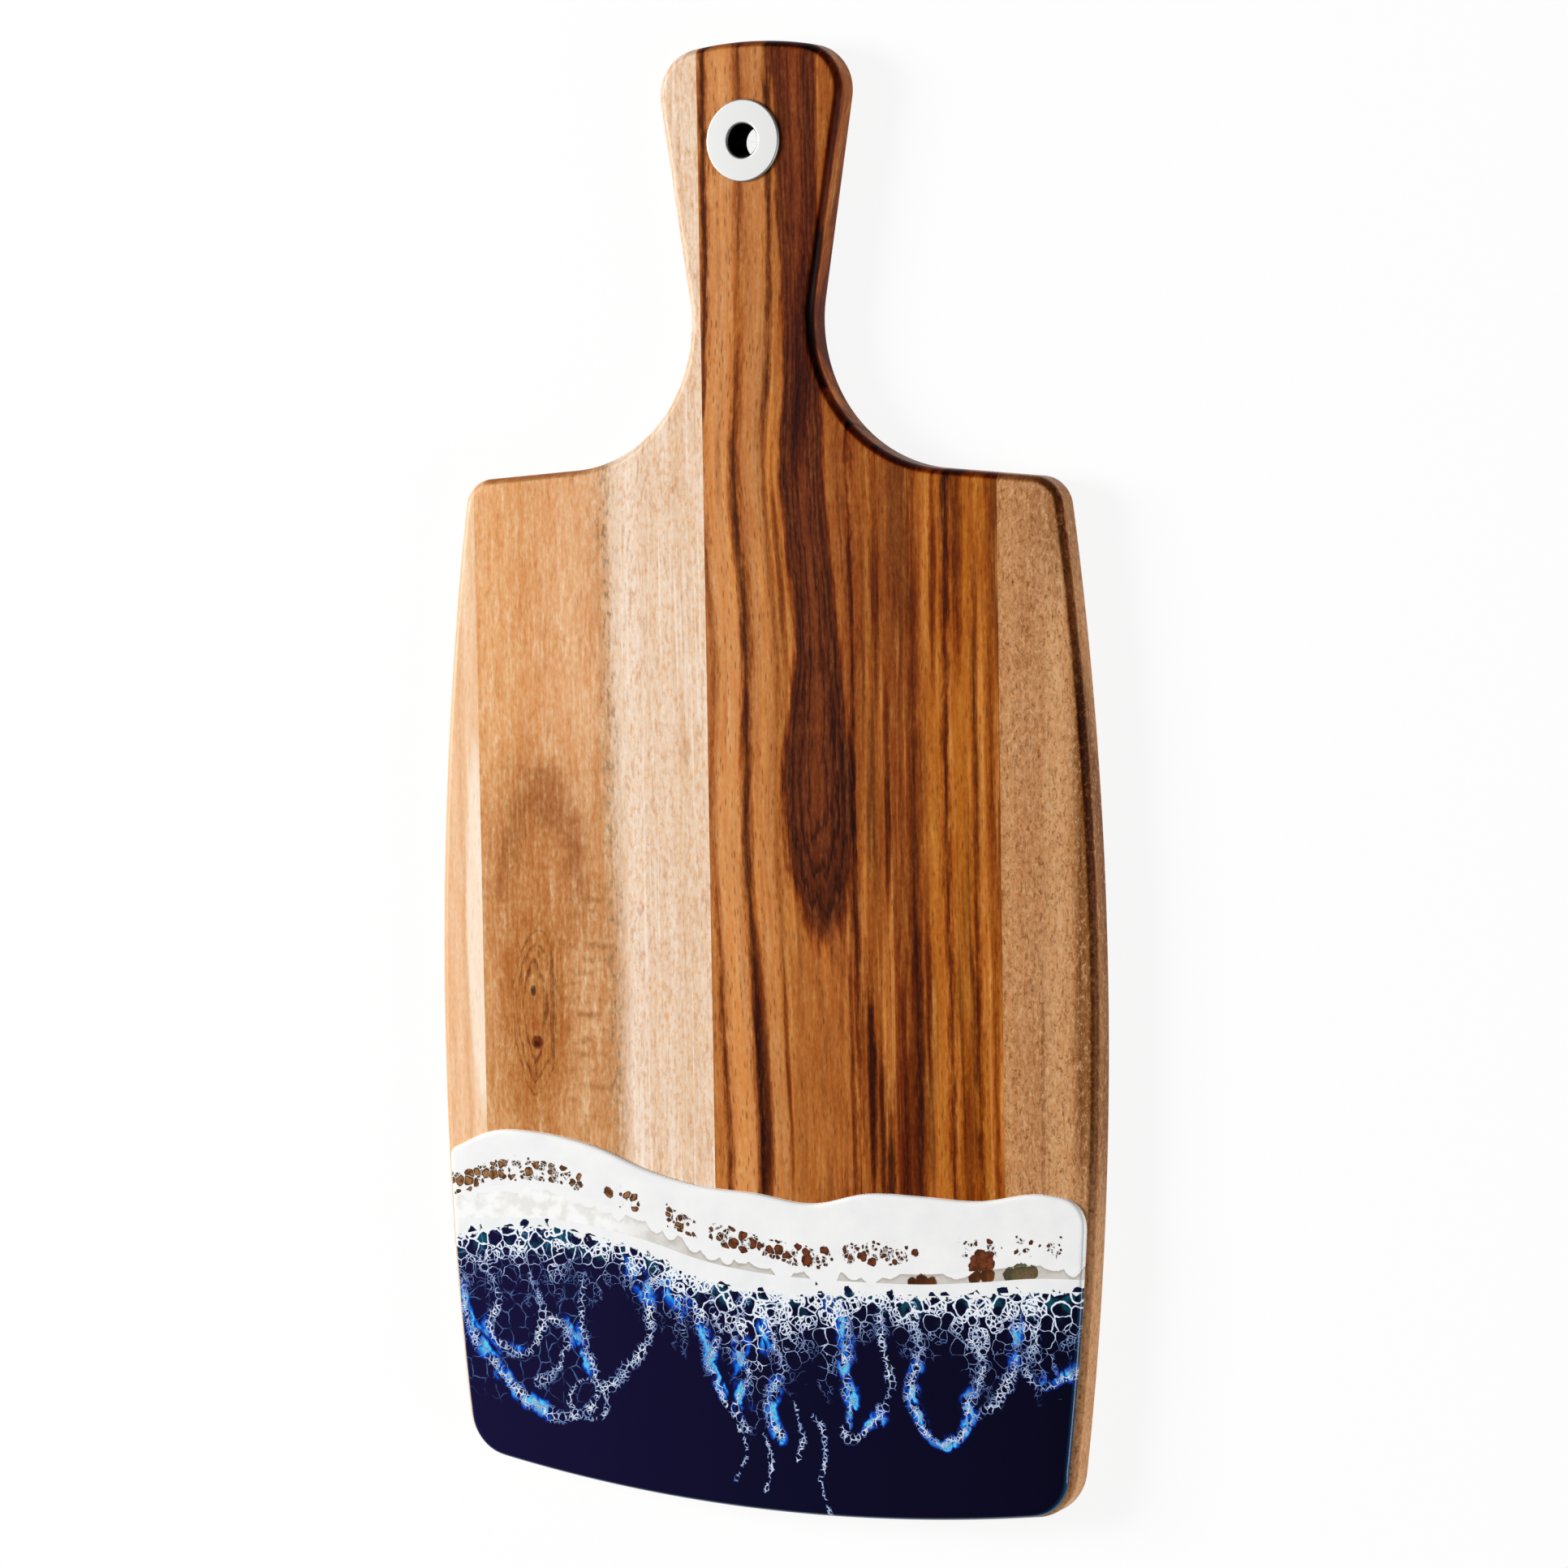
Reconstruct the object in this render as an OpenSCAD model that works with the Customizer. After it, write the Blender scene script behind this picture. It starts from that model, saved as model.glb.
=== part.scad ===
// Paddle serving board of edge-glued acacia staves, with a resin tide over its end and a metal hang eyelet.
// The board lies on its underside: X across it, Y along it towards the handle, Z up out of the serving face.
// Heights along the board are measured from the bowed resin end, which lies at Y = -board_l / 2.

/* [Blade] */
// Length of the board from the resin end to the top of the handle
board_l = 508; // [480:1:560]
// Width of the blade at its widest place
board_w = 257; // [240:1:280]
// Thickness of the glued staves
board_t = 12.7; // [10:0.1:20]
// Radius of the round-over along both faces
edge_r = 3.2; // [1.5:0.1:4.5]
// Radius of the bowed end
end_r = 650; // [450:10:1500]
// Radius of the two corners at the end
corner_r = 17; // [12:0.5:28]
// Radius of the bowed sides
side_r = 1300; // [900:10:3000]
// Distance from the end to the widest place
belly_y = 172; // [150:1:210]

/* [Shoulders and handle] */
// Distance from the end to the shoulders, where their line meets the widest place
shoulder_y = 358; // [345:1:375]
// Rise of the shoulders towards the handle, in degrees
shoulder_rise = 4.5; // [2:0.5:9]
// Radius of the shoulder corners
shoulder_r = 11; // [7:0.5:18]
// Width of the handle at its narrowest place
neck_w = 47.6; // [42:0.2:56]
// Radius of the hollow between shoulder and handle
neck_r = 50.7; // [40:0.1:60]
// Lean of the handle's sides outwards, in degrees
handle_flare = 9; // [5:0.5:11]
// Radius of the corners at the handle's top
handle_corner_r = 15.7; // [10:0.1:20]
// Radius of the bowed top of the handle
handle_top_r = 133; // [90:1:300]

/* [Staves] */
// Width of the narrow stave along the left side
left_edge_w = 17.5; // [12:0.5:30]
// Width of the stave along the right side
right_stave_w = 34.8; // [20:0.2:50]
// Place of the glue line between the tan stave and the heart stave, from the centreline
heart_joint_x = -17.8; // [-19:0.1:-16]
// Turn of the glue lines against the board's centreline, in degrees
stave_skew = 0.45; // [0:0.05:0.6]

/* [Hang eyelet] */
// Distance from the top of the handle to the hang hole
hang_drop = 33.7; // [28:0.1:50]
// Offset of the hang hole from the centreline
hang_x = -1.6; // [-2:0.1:3]
// Diameter of the clear hole through the eyelet
hang_d = 11; // [8:0.5:13]
// Diameter of the front flange
flange_d = 28; // [24:0.5:30]
// Height of the front flange above the face
flange_t = 1; // [0.6:0.1:2]
// Wall of the barrel
barrel_wall = 1.2; // [0.8:0.1:1.6]
// Radius of the lip where the flange runs into the barrel
lip_r = 0.8; // [0.4:0.1:1]
// Diameter of the washer at the back
washer_d = 22; // [20.5:0.5:26]
// Thickness of the washer
washer_t = 1.5; // [1:0.1:2.5]
// Flare of the barrel's end, over which the washer is held
flare_r = 0.8; // [0.4:0.1:0.9]
// Gap round the barrel and round the washer
eyelet_gap = 0.1; // [0.05:0.01:0.25]

/* [Poured resin] */
// Thickness of the resin over the face
resin_t = 1.5; // [0.8:0.1:3]
// Distance from the board's side to the resin's edge
resin_margin = 2.2; // [1:0.1:4]
// Distance from the board's end to the resin's edge, which laps over the round-over there
resin_end_margin = 0.4; // [0.2:0.1:2]
// Distance from the end to the lowest place on the navy resin's upper line
sea_y = 78; // [50:1:120]
// Least width of the inner white band
foam_w = 3; // [2:0.5:10]
// Least width of the clear band
tide_w = 2.5; // [2:0.5:10]
// Least width of the outer white band
shore_w = 11; // [8:0.5:30]
// Radius of the outer white band's corner at the right side
shore_corner_r = 7; // [4:0.5:12]

/* [Hidden] */
$fn = 96;

// Steps in each stretch of the outline's half, in the round-over and along a wave line
end_steps = 6;
corner_steps = 6;
side_steps = 12;
shoulder_steps = 6;
neck_steps = 12;
handle_corner_steps = 6;
top_steps = 5;
round_steps = 4;
lip_steps = 6;
wave_steps = 96;

// Rise of each band's upper line above its least height, at even places from the left side to the right
sea_swell = [9, 14, 16, 14, 10, 2.5, 0, 1, 3, 3.5, 6, 8.5, 10];
foam_swell = [4, 0.5, 0, 0.5, 1, 3.5, 3.5, 2, 0.5, 1, 1, 1.5, 1];
tide_swell = [4.5, 9, 9.5, 6.5, 4.5, 2.5, 1, 0, 1, 1, 1.5, 2, 2];
shore_swell = [6.5, 9, 7.5, 8.5, 7, 10, 13, 12.5, 16, 15.5, 12.5, 13, 10];

// A length that reaches past the board on every side, for cutters
past = board_l;
end_y = -board_l / 2;
hang_y = board_l / 2 - hang_drop;
bore_r = hang_d / 2;
barrel_r = bore_r + barrel_wall;
left_joint_x = -board_w / 2 + left_edge_w;
right_joint_x = board_w / 2 - right_stave_w;

// Outline: a chain of arcs that run into each other, from the middle of the end up the right side to the top

// Points along an arc with the normals that point out of the wood: out is 1 on a bulge and -1 on a hollow
function arc(centre, r, from, to, steps, out = 1) = [
    for (i = [0:steps])
        let (a = from + (to - from) * i / steps, d = [cos(a), sin(a)])
            [centre + r * d, out * d]
];
function angle_of(v) = atan2(v.y, v.x);
// The meeting place of two circles that lies on the right of the way from the first centre to the second
function circles_meet(c1, r1, c2, r2) =
    let (
        d = norm(c2 - c1),
        u = (c2 - c1) / d,
        a = (r1 * r1 - r2 * r2 + d * d) / (2 * d),
        h = sqrt(r1 * r1 - a * a)
    ) c1 + a * u + h * [-u.y, u.x];
// How far along a line from p in direction t it meets a circle: way is 1 for the far meeting, -1 for the near
function line_meets(p, t, c, r, way) =
    let (w = p - c, b = w * t) -b + way * sqrt(b * b - w * w + r * r);

end_c = [0, end_r];
side_c = [board_w / 2 - side_r, belly_y];
corner_c = circles_meet(end_c, end_r - corner_r, side_c, side_r - corner_r);

shoulder_end = [board_w / 2, shoulder_y];
shoulder_up = [sin(shoulder_rise), cos(shoulder_rise)];
shoulder_in = [-shoulder_up.y, shoulder_up.x];
shoulder_low = shoulder_end - shoulder_r * shoulder_up;
shoulder_c = shoulder_low
    + shoulder_in * line_meets(shoulder_low, shoulder_in, side_c, side_r - shoulder_r, -1);

neck_x = neck_w / 2 + neck_r;
neck_c = [
    neck_x,
    shoulder_y + (neck_r - (neck_x - shoulder_end.x) * shoulder_up.x) / shoulder_up.y,
];

handle_way = [sin(handle_flare), cos(handle_flare)];
handle_out = [handle_way.y, -handle_way.x];
handle_inner = neck_c - (neck_r + handle_corner_r) * handle_out;
top_c = [0, board_l - handle_top_r];
handle_corner_c = handle_inner
    + handle_way * line_meets(handle_inner, handle_way, top_c, handle_top_r - handle_corner_r, 1);

half_outline = concat(
    arc(end_c, end_r, -90, angle_of(corner_c - end_c), end_steps),
    arc(corner_c, corner_r, angle_of(corner_c - end_c), angle_of(corner_c - side_c), corner_steps),
    arc(side_c, side_r, angle_of(corner_c - side_c), angle_of(shoulder_c - side_c), side_steps),
    arc(shoulder_c, shoulder_r, angle_of(shoulder_c - side_c), 90 - shoulder_rise, shoulder_steps),
    arc(neck_c, neck_r, 270 - shoulder_rise, 180 - handle_flare, neck_steps, -1),
    arc(
        handle_corner_c, handle_corner_r,
        -handle_flare, angle_of(handle_corner_c - top_c), handle_corner_steps
    ),
    arc(top_c, handle_top_r, angle_of(handle_corner_c - top_c), 90, top_steps)
);
// Each arc starts where the one before it ends, so its first point is left out there
arc_starts = [
    end_steps + 1,
    end_steps + corner_steps + 2,
    end_steps + corner_steps + side_steps + 3,
    end_steps + corner_steps + side_steps + shoulder_steps + neck_steps
        + handle_corner_steps + 6,
];
half = [
    for (i = [0:len(half_outline) - 1])
        if (len(search(i, arc_starts)) == 0) half_outline[i]
];
half_n = len(half);
loop_n = 2 * half_n - 2;

// The outline's half drawn in by a list of insets, then the whole loop with its mirrored half
function drawn_in(insets) = [
    for (i = [0:half_n - 1])
        let (p = half[i][0] - insets[i] * half[i][1]) [p.x, p.y + end_y]
];
function whole_loop(right) = concat(
    right,
    [for (i = [half_n - 2:-1:1]) [-right[i].x, right[i].y]]
);
function even_inset(d) = [for (i = [0:half_n - 1]) d];

// Round-over rings of a face, as inset and depth below the face
round_over = [
    for (i = [0:round_steps])
        let (a = 90 * i / round_steps) [edge_r * (1 - cos(a)), edge_r * (1 - sin(a))]
];

// A solid lofted through rings of inset and height, from the lowest ring up
module lofted(rings) {
    levels = len(rings);
    points = [
        for (ring = rings)
            for (p = whole_loop(drawn_in(even_inset(ring[0])))) [p.x, p.y, ring[1]]
    ];
    left = function (i) (loop_n - i) % loop_n;
    cap = [
        for (i = [0:half_n - 2])
            each [
                if (i < half_n - 2) [left(i), left(i + 1), i + 1],
                if (i > 0) [left(i), i + 1, i],
            ]
    ];
    walls = [
        for (k = [0:levels - 2])
            for (j = [0:loop_n - 1])
                let (
                    a = k * loop_n + j,
                    b = k * loop_n + (j + 1) % loop_n
                )
                each [[a, a + loop_n, b + loop_n], [a, b + loop_n, b]]
    ];
    top = (levels - 1) * loop_n;
    polyhedron(
        points,
        concat(
            [for (f = cap) [f[2], f[1], f[0]]],
            walls,
            [for (f = cap) [f[0] + top, f[1] + top, f[2] + top]]
        )
    );
}

upper_rings = [for (r = round_over) [r[0], board_t - r[1]]];
lower_rings = [for (i = [round_steps:-1:0]) [round_over[i][0], round_over[i][1]]];

// The whole wooden board, before it is told apart into staves
module board_blank() {
    lofted(concat(lower_rings, upper_rings));
}

// The hole for the barrel and the seat for the washer
module eyelet_holes() {
    translate([hang_x, hang_y, 0]) {
        translate([0, 0, -past])
            cylinder(r = barrel_r + eyelet_gap, h = 2 * past);
        translate([0, 0, -past])
            cylinder(d = washer_d + 2 * eyelet_gap, h = past + washer_t);
    }
}

// The wood between two glue lines
module stave(from_x, to_x) {
    difference() {
        intersection() {
            board_blank();
            rotate(stave_skew)
                translate([from_x, -past, -past])
                    cube([to_x - from_x, 2 * past, 2 * past]);
        }
        eyelet_holes();
    }
}

module left_edge_stave() {
    color("#d0a070") stave(-past, left_joint_x);
}

module left_stave() {
    color("#c9905c") stave(left_joint_x, heart_joint_x);
}

module heart_stave() {
    color("#8a4f24") stave(heart_joint_x, right_joint_x);
}

module right_stave() {
    color("#b98452") stave(right_joint_x, past);
}

// Eyelet: a flange with a rounded rim, a lip into the bore and a barrel whose end flares out under the washer
rim_r = flange_t / 2;
flange_z = board_t + flange_t;
eyelet_profile = concat(
    [[bore_r, 0], [barrel_r + flare_r, 0], [barrel_r, flare_r], [barrel_r, board_t]],
    [[flange_d / 2 - rim_r, board_t]],
    [
        for (i = [0:lip_steps])
            let (a = -90 + 180 * i / lip_steps)
                [flange_d / 2 - rim_r + rim_r * cos(a), board_t + rim_r + rim_r * sin(a)]
    ],
    [
        for (i = [0:lip_steps])
            let (a = 90 + 90 * i / lip_steps)
                [bore_r + lip_r + lip_r * cos(a), flange_z - lip_r + lip_r * sin(a)]
    ]
);

module eyelet() {
    color("#d9dadb")
        translate([hang_x, hang_y, 0])
            rotate_extrude()
                polygon(eyelet_profile);
}

// Washer: a flat ring let into the underside, countersunk for the barrel's flared end
module eyelet_washer() {
    hole_r = barrel_r + eyelet_gap;
    color("#c6c8ca")
        translate([hang_x, hang_y, 0])
            rotate_extrude()
                polygon([
                    [hole_r + flare_r, 0],
                    [washer_d / 2, 0],
                    [washer_d / 2, washer_t],
                    [hole_r, washer_t],
                    [hole_r, flare_r],
                ]);
}

// Resin footprint: the outline drawn in by the side margin, and by the end margin along the end
resin_insets = [
    for (i = [0:half_n - 1])
        let (t = min(1, max(0, (i - end_steps) / corner_steps)))
            resin_end_margin + (resin_margin - resin_end_margin) * t
];

// A smooth curve through evenly spaced heights, at place t counted in spacings
function swell(heights, t) =
    let (
        last = len(heights) - 1,
        i = min(floor(t), last - 1),
        u = t - i,
        a = heights[max(i - 1, 0)],
        b = heights[i],
        c = heights[i + 1],
        d = heights[min(i + 2, last)]
    ) b + u * (c - a + u * (2 * a - 5 * b + 4 * c - d + u * (3 * b - 3 * c + d - a))) / 2;
// Upper line of a band: the least widths and the swells of the bands up to it add up
function wave_line(least, swells) = [
    for (j = [0:wave_steps])
        let (t = j * (len(sea_swell) - 1) / wave_steps)
            [
                board_w * (j / wave_steps - 1 / 2),
                end_y + least + swell(swells, t),
            ]
];
sea_line = wave_line(sea_y, sea_swell);
foam_line = wave_line(sea_y + foam_w, sea_swell + foam_swell);
tide_line = wave_line(sea_y + foam_w + tide_w, sea_swell + foam_swell + tide_swell);
// The outer white band's line turns down in a round corner where it comes to the resin's right edge
shore_y = sea_y + foam_w + tide_w + shore_w;
shore_below_belly = belly_y - shore_y - shore_w;
shore_side_x = side_c.x + sqrt(side_r * side_r - shore_below_belly * shore_below_belly);
shore_corner_x = shore_side_x - resin_margin - shore_corner_r;
function corner_drop(x) =
    let (d = min(shore_corner_r, max(0, x - shore_corner_x)))
        shore_corner_r - sqrt(shore_corner_r * shore_corner_r - d * d);
shore_line = [
    for (p = wave_line(shore_y, sea_swell + foam_swell + tide_swell + shore_swell))
        [p.x, p.y - corner_drop(p.x)]
];
end_line = [[-board_w / 2, end_y], [board_w / 2, end_y]];

// The resin between two lines, laid over the face and the round-over
module resin_band(low_line, high_line) {
    difference() {
        translate([0, 0, board_t - edge_r])
            linear_extrude(edge_r + resin_t)
                intersection() {
                    polygon(whole_loop(drawn_in(resin_insets)));
                    polygon(concat(low_line, [for (i = [wave_steps:-1:0]) high_line[i]]));
                }
        lofted(concat([[0, board_t / 2]], upper_rings));
    }
}

module sea_resin() {
    color("#0f0c33") resin_band(end_line, sea_line);
}

module foam_resin() {
    color("#f4f5f5") resin_band(sea_line, foam_line);
}

module tide_resin() {
    color("#d8d4cc") resin_band(foam_line, tide_line);
}

module shore_resin() {
    color("#f7f7f5") resin_band(tide_line, shore_line);
}

left_edge_stave();
left_stave();
heart_stave();
right_stave();
eyelet();
eyelet_washer();
sea_resin();
foam_resin();
tide_resin();
shore_resin();
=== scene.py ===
"""Paddle serving board: acacia staves, a set metal eyelet and a poured resin tide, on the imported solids."""

import math

import bmesh
import bpy
import numpy as np
from mathutils import Euler, Matrix, Vector
from mathutils.geometry import delaunay_2d_cdt
from mathutils.kdtree import KDTree


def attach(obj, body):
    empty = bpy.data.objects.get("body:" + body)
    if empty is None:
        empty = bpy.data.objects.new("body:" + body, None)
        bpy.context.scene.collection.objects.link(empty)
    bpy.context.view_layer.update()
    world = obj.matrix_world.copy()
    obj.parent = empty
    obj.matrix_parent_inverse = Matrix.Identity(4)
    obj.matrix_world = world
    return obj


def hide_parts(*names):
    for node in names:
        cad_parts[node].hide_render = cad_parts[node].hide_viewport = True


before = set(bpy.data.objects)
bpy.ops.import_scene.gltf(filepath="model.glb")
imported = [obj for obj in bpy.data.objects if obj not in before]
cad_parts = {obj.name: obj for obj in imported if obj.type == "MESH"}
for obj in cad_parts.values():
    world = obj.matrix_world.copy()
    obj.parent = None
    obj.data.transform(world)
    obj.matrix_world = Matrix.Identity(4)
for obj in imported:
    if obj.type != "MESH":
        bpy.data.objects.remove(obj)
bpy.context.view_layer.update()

# Sizes of the board in millimetres and degrees, the same as those of the solids. Heights are above the end
board_l = 508.0
board_w = 257.0
board_t = 12.7
edge_r = 3.2
end_r = 650.0
corner_r = 17.0
side_r = 1300.0
belly_y = 172.0
shoulder_y = 358.0
shoulder_rise = 4.5
shoulder_r = 11.0
neck_w = 47.6
neck_r = 50.7
handle_flare = 9.0
handle_corner_r = 15.7
handle_top_r = 133.0
end_y = -board_l / 2

# Glue lines, where they cross the board's middle, and their lean
left_joint_x = -111.0
heart_joint_x = -17.8
right_joint_x = 93.7
stave_skew = 0.45

# Eyelet and washer, with the hang hole's place from the board's middle
hang_x = -1.6
hang_y = 220.3
bore_r = 5.5
barrel_r = 6.7
flange_r = 14.0
flange_t = 1.0
washer_r = 11.0
washer_t = 1.5
flare_r = 0.8
eyelet_gap = 0.1

# Resin film: its thickness, its distance from the sides and the end, and how wide its rounded edge is there.
# The edge starts to widen at its top height and has widened after its fade. Its outermost lip is thin
resin_t = 1.5
resin_margin = 2.2
resin_end_margin = 0.4
side_roll = 1.5
end_roll = 3.5
end_roll_top = 30.0
end_roll_fade = 14.0
film_lip = 0.04

# Resin lines: least height above the end, and the rise above it at even places from left to right
sea_swell = np.array([9, 14, 16, 14, 10, 2.5, 0, 1, 3, 3.5, 6, 8.5, 10])
foam_swell = sea_swell + [4, 0.5, 0, 0.5, 1, 3.5, 3.5, 2, 0.5, 1, 1, 1.5, 1]
tide_swell = foam_swell + [4.5, 9, 9.5, 6.5, 4.5, 2.5, 1, 0, 1, 1, 1.5, 2, 2]
shore_swell = tide_swell + [6.5, 9, 7.5, 8.5, 7, 10, 13, 12.5, 16, 15.5, 12.5, 13, 10]
resin_lines = [(78.0, sea_swell), (81.0, foam_swell), (83.5, tide_swell), (94.5, shore_swell)]
# Each batch has the number of the line at its upper side. The first three lines are seams between batches
sea, foam, tide, shore = range(4)
seams = (sea, foam, tide)
# The shore's round corner at the right, and the rise at which it is set off from the side
shore_corner_r = 7.0
shore_corner_rise = 11.0

# Lacing: threads that run down through the navy, as x and height above the end
lace_runs = [
    [(-120, 72), (-116, 54), (-107, 41), (-95, 31), (-82, 26), (-70, 29), (-66, 41), (-71, 56), (-70, 78)],
    [(-113, 80), (-105, 66), (-108, 53), (-98, 45), (-90, 51), (-86, 63), (-92, 76)],
    [(-86, 63), (-78, 58), (-80, 46), (-88, 38)],
    [(-62, 38), (-55, 43), (-48, 50), (-42, 60), (-45, 72), (-40, 82)],
    [(-20, 78), (-16, 63), (-20, 52), (-15, 41), (-9, 33)],
    [(-5, 78), (-8, 62), (-4, 49), (-9, 38), (-4, 29)],
    [(10, 78), (7, 64), (11, 51), (6, 38), (9, 28)],
    [(28, 78), (36, 68), (33, 55), (37, 43), (36, 32), (46, 36), (53, 47), (50, 60), (48, 76)],
    [(60, 79), (64, 64), (60, 51), (63, 38), (71, 29), (79, 34), (82, 47), (86, 59), (83, 70), (85, 82)],
    [(98, 84), (101, 69), (97, 56), (89, 45), (79, 36)],
    [(121, 60), (111, 55), (104, 62), (108, 73), (105, 84)],
]
wisp_runs = [
    [(22, 36), (27, 24), (24, 12), (28, 2)],
    [(2, 28), (5, 18), (3, 8)],
    [(-60, 33), (-63, 40), (-70, 41), (-75, 34), (-70, 27), (-63, 27), (-60, 33)],
    [(-8, 30), (-4, 20), (-9, 10)],
    [(14, 40), (18, 30), (16, 20)],
]
# Blue beside the lacing: its way and its half width
blue_runs = [
    ([(-119, 66), (-114, 55), (-109, 46)], 6.5), ([(-106, 42), (-97, 33), (-86, 28)], 5.5),
    ([(-101, 58), (-97, 50)], 4.5), ([(-76, 62), (-72, 52), (-68, 44)], 4.0),
    ([(-50, 82), (-43, 72)], 5.5), ([(-36, 78), (-28, 68)], 6.0),
    ([(-22, 62), (-18, 52), (-12, 42)], 6.0), ([(-6, 58), (-8, 46), (-5, 36)], 5.5),
    ([(2, 68), (4, 58)], 4.0), ([(8, 46), (6, 36), (9, 26)], 4.5),
    ([(30, 76), (35, 64), (34, 54)], 5.0), ([(37, 46), (39, 36), (47, 37)], 5.5),
    ([(62, 56), (61, 46), (66, 37)], 5.0), ([(66, 36), (73, 30), (80, 37), (82, 48)], 5.0),
    ([(100, 74), (98, 62)], 4.0), ([(110, 57), (121, 61)], 5.0),
]
# How far the lacing reaches down from the foam, and how much of their length its drips have, at even places
# from left to right
lace_reach = np.array([20, 23, 22, 18, 15, 23, 32, 27, 15, 18, 25, 24, 16])
drip_share = np.array([0.5, 0.6, 0.7, 0.7, 0.7, 1.2, 1.7, 1.5, 0.9, 1.1, 1.3, 1.3, 0.9])
# Burst bubbles over the clear band: place, half width, height over its line, and how close they lie
burst_clusters = [
    (-120, 9, 4.6, 1.0), (-105, 12, 5.4, 1.0), (-86, 12, 5, 1.0), (-73, 4, 5, 0.75), (-50, 6, 5, 0.72),
    (-30, 7, 5.6, 0.85), (-13, 6, 6.2, 1.1), (-3, 5, 6.2, 1.0), (8, 6, 5.6, 0.95), (17, 7, 5, 1.1),
    (26, 4, 5, 0.9), (37, 4, 6, 0.85), (45, 5, 6.5, 1.0), (54, 5, 6.5, 0.95), (82, 4, 7, 0.75),
    (91, 3, 7, 0.75), (102, 4, 7, 0.7), (113, 5, 6, 0.6),
]
burst_half_h = 4.2
# Open holes over the clear band: x, height above its line and radius
open_holes = [
    (84, -2, 2.6), (88.6, -2, 2.8), (84.4, 1.6, 2.8), (88.4, 1.8, 3.0), (86, 5, 2.4), (89, 4.6, 1.8),
    (97, -2.4, 2.6), (101, -2, 3.2), (105, -2.4, 2.6), (60.5, -3, 2.2), (64, -2.4, 2.6), (67.5, -3, 2.2),
    (-59, 5, 1.9), (20, 4, 2.2), (61.5, 7.5, 1.4),
]


# Outline of the board

end_steps = 40
corner_steps = 20


def arc(centre, radius, start, end, steps, out=1):
    """Rows of x, y and the normal that points out of the wood, along an arc given in degrees."""
    angles = np.radians(np.linspace(start, end, steps + 1))
    spokes = np.stack([np.cos(angles), np.sin(angles)], 1)
    return np.concatenate([np.asarray(centre) + radius * spokes, out * spokes], 1)


def angle_of(heading):
    return math.degrees(math.atan2(heading[1], heading[0]))


def line_meets(start, heading, centre, radius, side):
    """How far along its heading a line meets a circle, at the near side (-1) or the far one (1)."""
    off = start - centre
    along = off @ heading
    return -along + side * math.sqrt(along * along - off @ off + radius * radius)


def board_half():
    """The outline's right half, from the middle of the end to the middle of the handle's top."""
    end_c = np.array([0, end_r])
    side_c = np.array([board_w / 2 - side_r, belly_y])
    # The corner's circle touches the end's and the side's from inside, so its centre lies on two circles
    span = np.linalg.norm(side_c - end_c)
    across = (side_c - end_c) / span
    from_end, from_side = end_r - corner_r, side_r - corner_r
    reach = (from_end * from_end - from_side * from_side + span * span) / (2 * span)
    aside = math.sqrt(from_end * from_end - reach * reach)
    corner_c = end_c + reach * across + aside * np.array([-across[1], across[0]])
    rise, flare = math.radians(shoulder_rise), math.radians(handle_flare)
    up = np.array([math.sin(rise), math.cos(rise)])
    inward = np.array([-up[1], up[0]])
    low = np.array([board_w / 2, shoulder_y]) - shoulder_r * up
    shoulder_c = low + inward * line_meets(low, inward, side_c, side_r - shoulder_r, -1)
    neck_x = neck_w / 2 + neck_r
    neck_c = np.array([neck_x, shoulder_y + (neck_r - (neck_x - board_w / 2) * up[0]) / up[1]])
    along = np.array([math.sin(flare), math.cos(flare)])
    inner = neck_c - (neck_r + handle_corner_r) * np.array([along[1], -along[0]])
    top_c = np.array([0, board_l - handle_top_r])
    knuckle_c = inner + along * line_meets(inner, along, top_c, handle_top_r - handle_corner_r, 1)
    arcs = [
        arc(end_c, end_r, -90, angle_of(corner_c - end_c), end_steps),
        arc(corner_c, corner_r, angle_of(corner_c - end_c), angle_of(corner_c - side_c), corner_steps)[1:],
        arc(side_c, side_r, angle_of(corner_c - side_c), angle_of(shoulder_c - side_c), 80)[1:],
        arc(shoulder_c, shoulder_r, angle_of(shoulder_c - side_c), 90 - shoulder_rise, 16)[1:],
        arc(neck_c, neck_r, 270 - shoulder_rise, 180 - handle_flare, 44, -1),
        arc(knuckle_c, handle_corner_r, -handle_flare, angle_of(knuckle_c - top_c), 18),
        arc(top_c, handle_top_r, angle_of(knuckle_c - top_c), 90, 16)[1:],
    ]
    outline = np.concatenate(arcs)
    outline[:, 1] += end_y
    return outline


half = board_half()
half_n = len(half)


def whole_loop(right):
    """A closed loop from points of the right half, counter-clockwise from the middle of the end."""
    return np.concatenate([right, right[-2:0:-1] * [-1, 1]])


# Pieces: each rides on the board's body, in place of its solid

def mesh_of(name, points, faces):
    """A mesh from points in millimetres."""
    mesh = bpy.data.meshes.new(name)
    mesh.from_pydata((np.asarray(points) / 1000).tolist(), [], [list(f) for f in faces])
    return mesh


def new_object(name, data):
    thing = bpy.data.objects.new(name, data)
    bpy.context.scene.collection.objects.link(thing)
    return thing


def new_piece(name, mesh, node):
    """A piece of the board that stands for a node's solid."""
    piece = new_object(name, mesh)
    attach(piece, "root")
    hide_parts(node)
    return piece


def shade_smooth(piece, degrees):
    """Smooth shading with crisp edges above an angle."""
    mesh = piece.data
    mesh.polygons.foreach_set("use_smooth", [True] * len(mesh.polygons))
    mesh.set_sharp_from_angle(angle=math.radians(degrees))


def keep_flats(piece):
    """Keeps the shading of broad faces flat beside their rounded edges."""
    weigh = piece.modifiers.new("flat faces stay flat", "WEIGHTED_NORMAL")
    weigh.keep_sharp = True
    weigh.weight = 100


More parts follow.
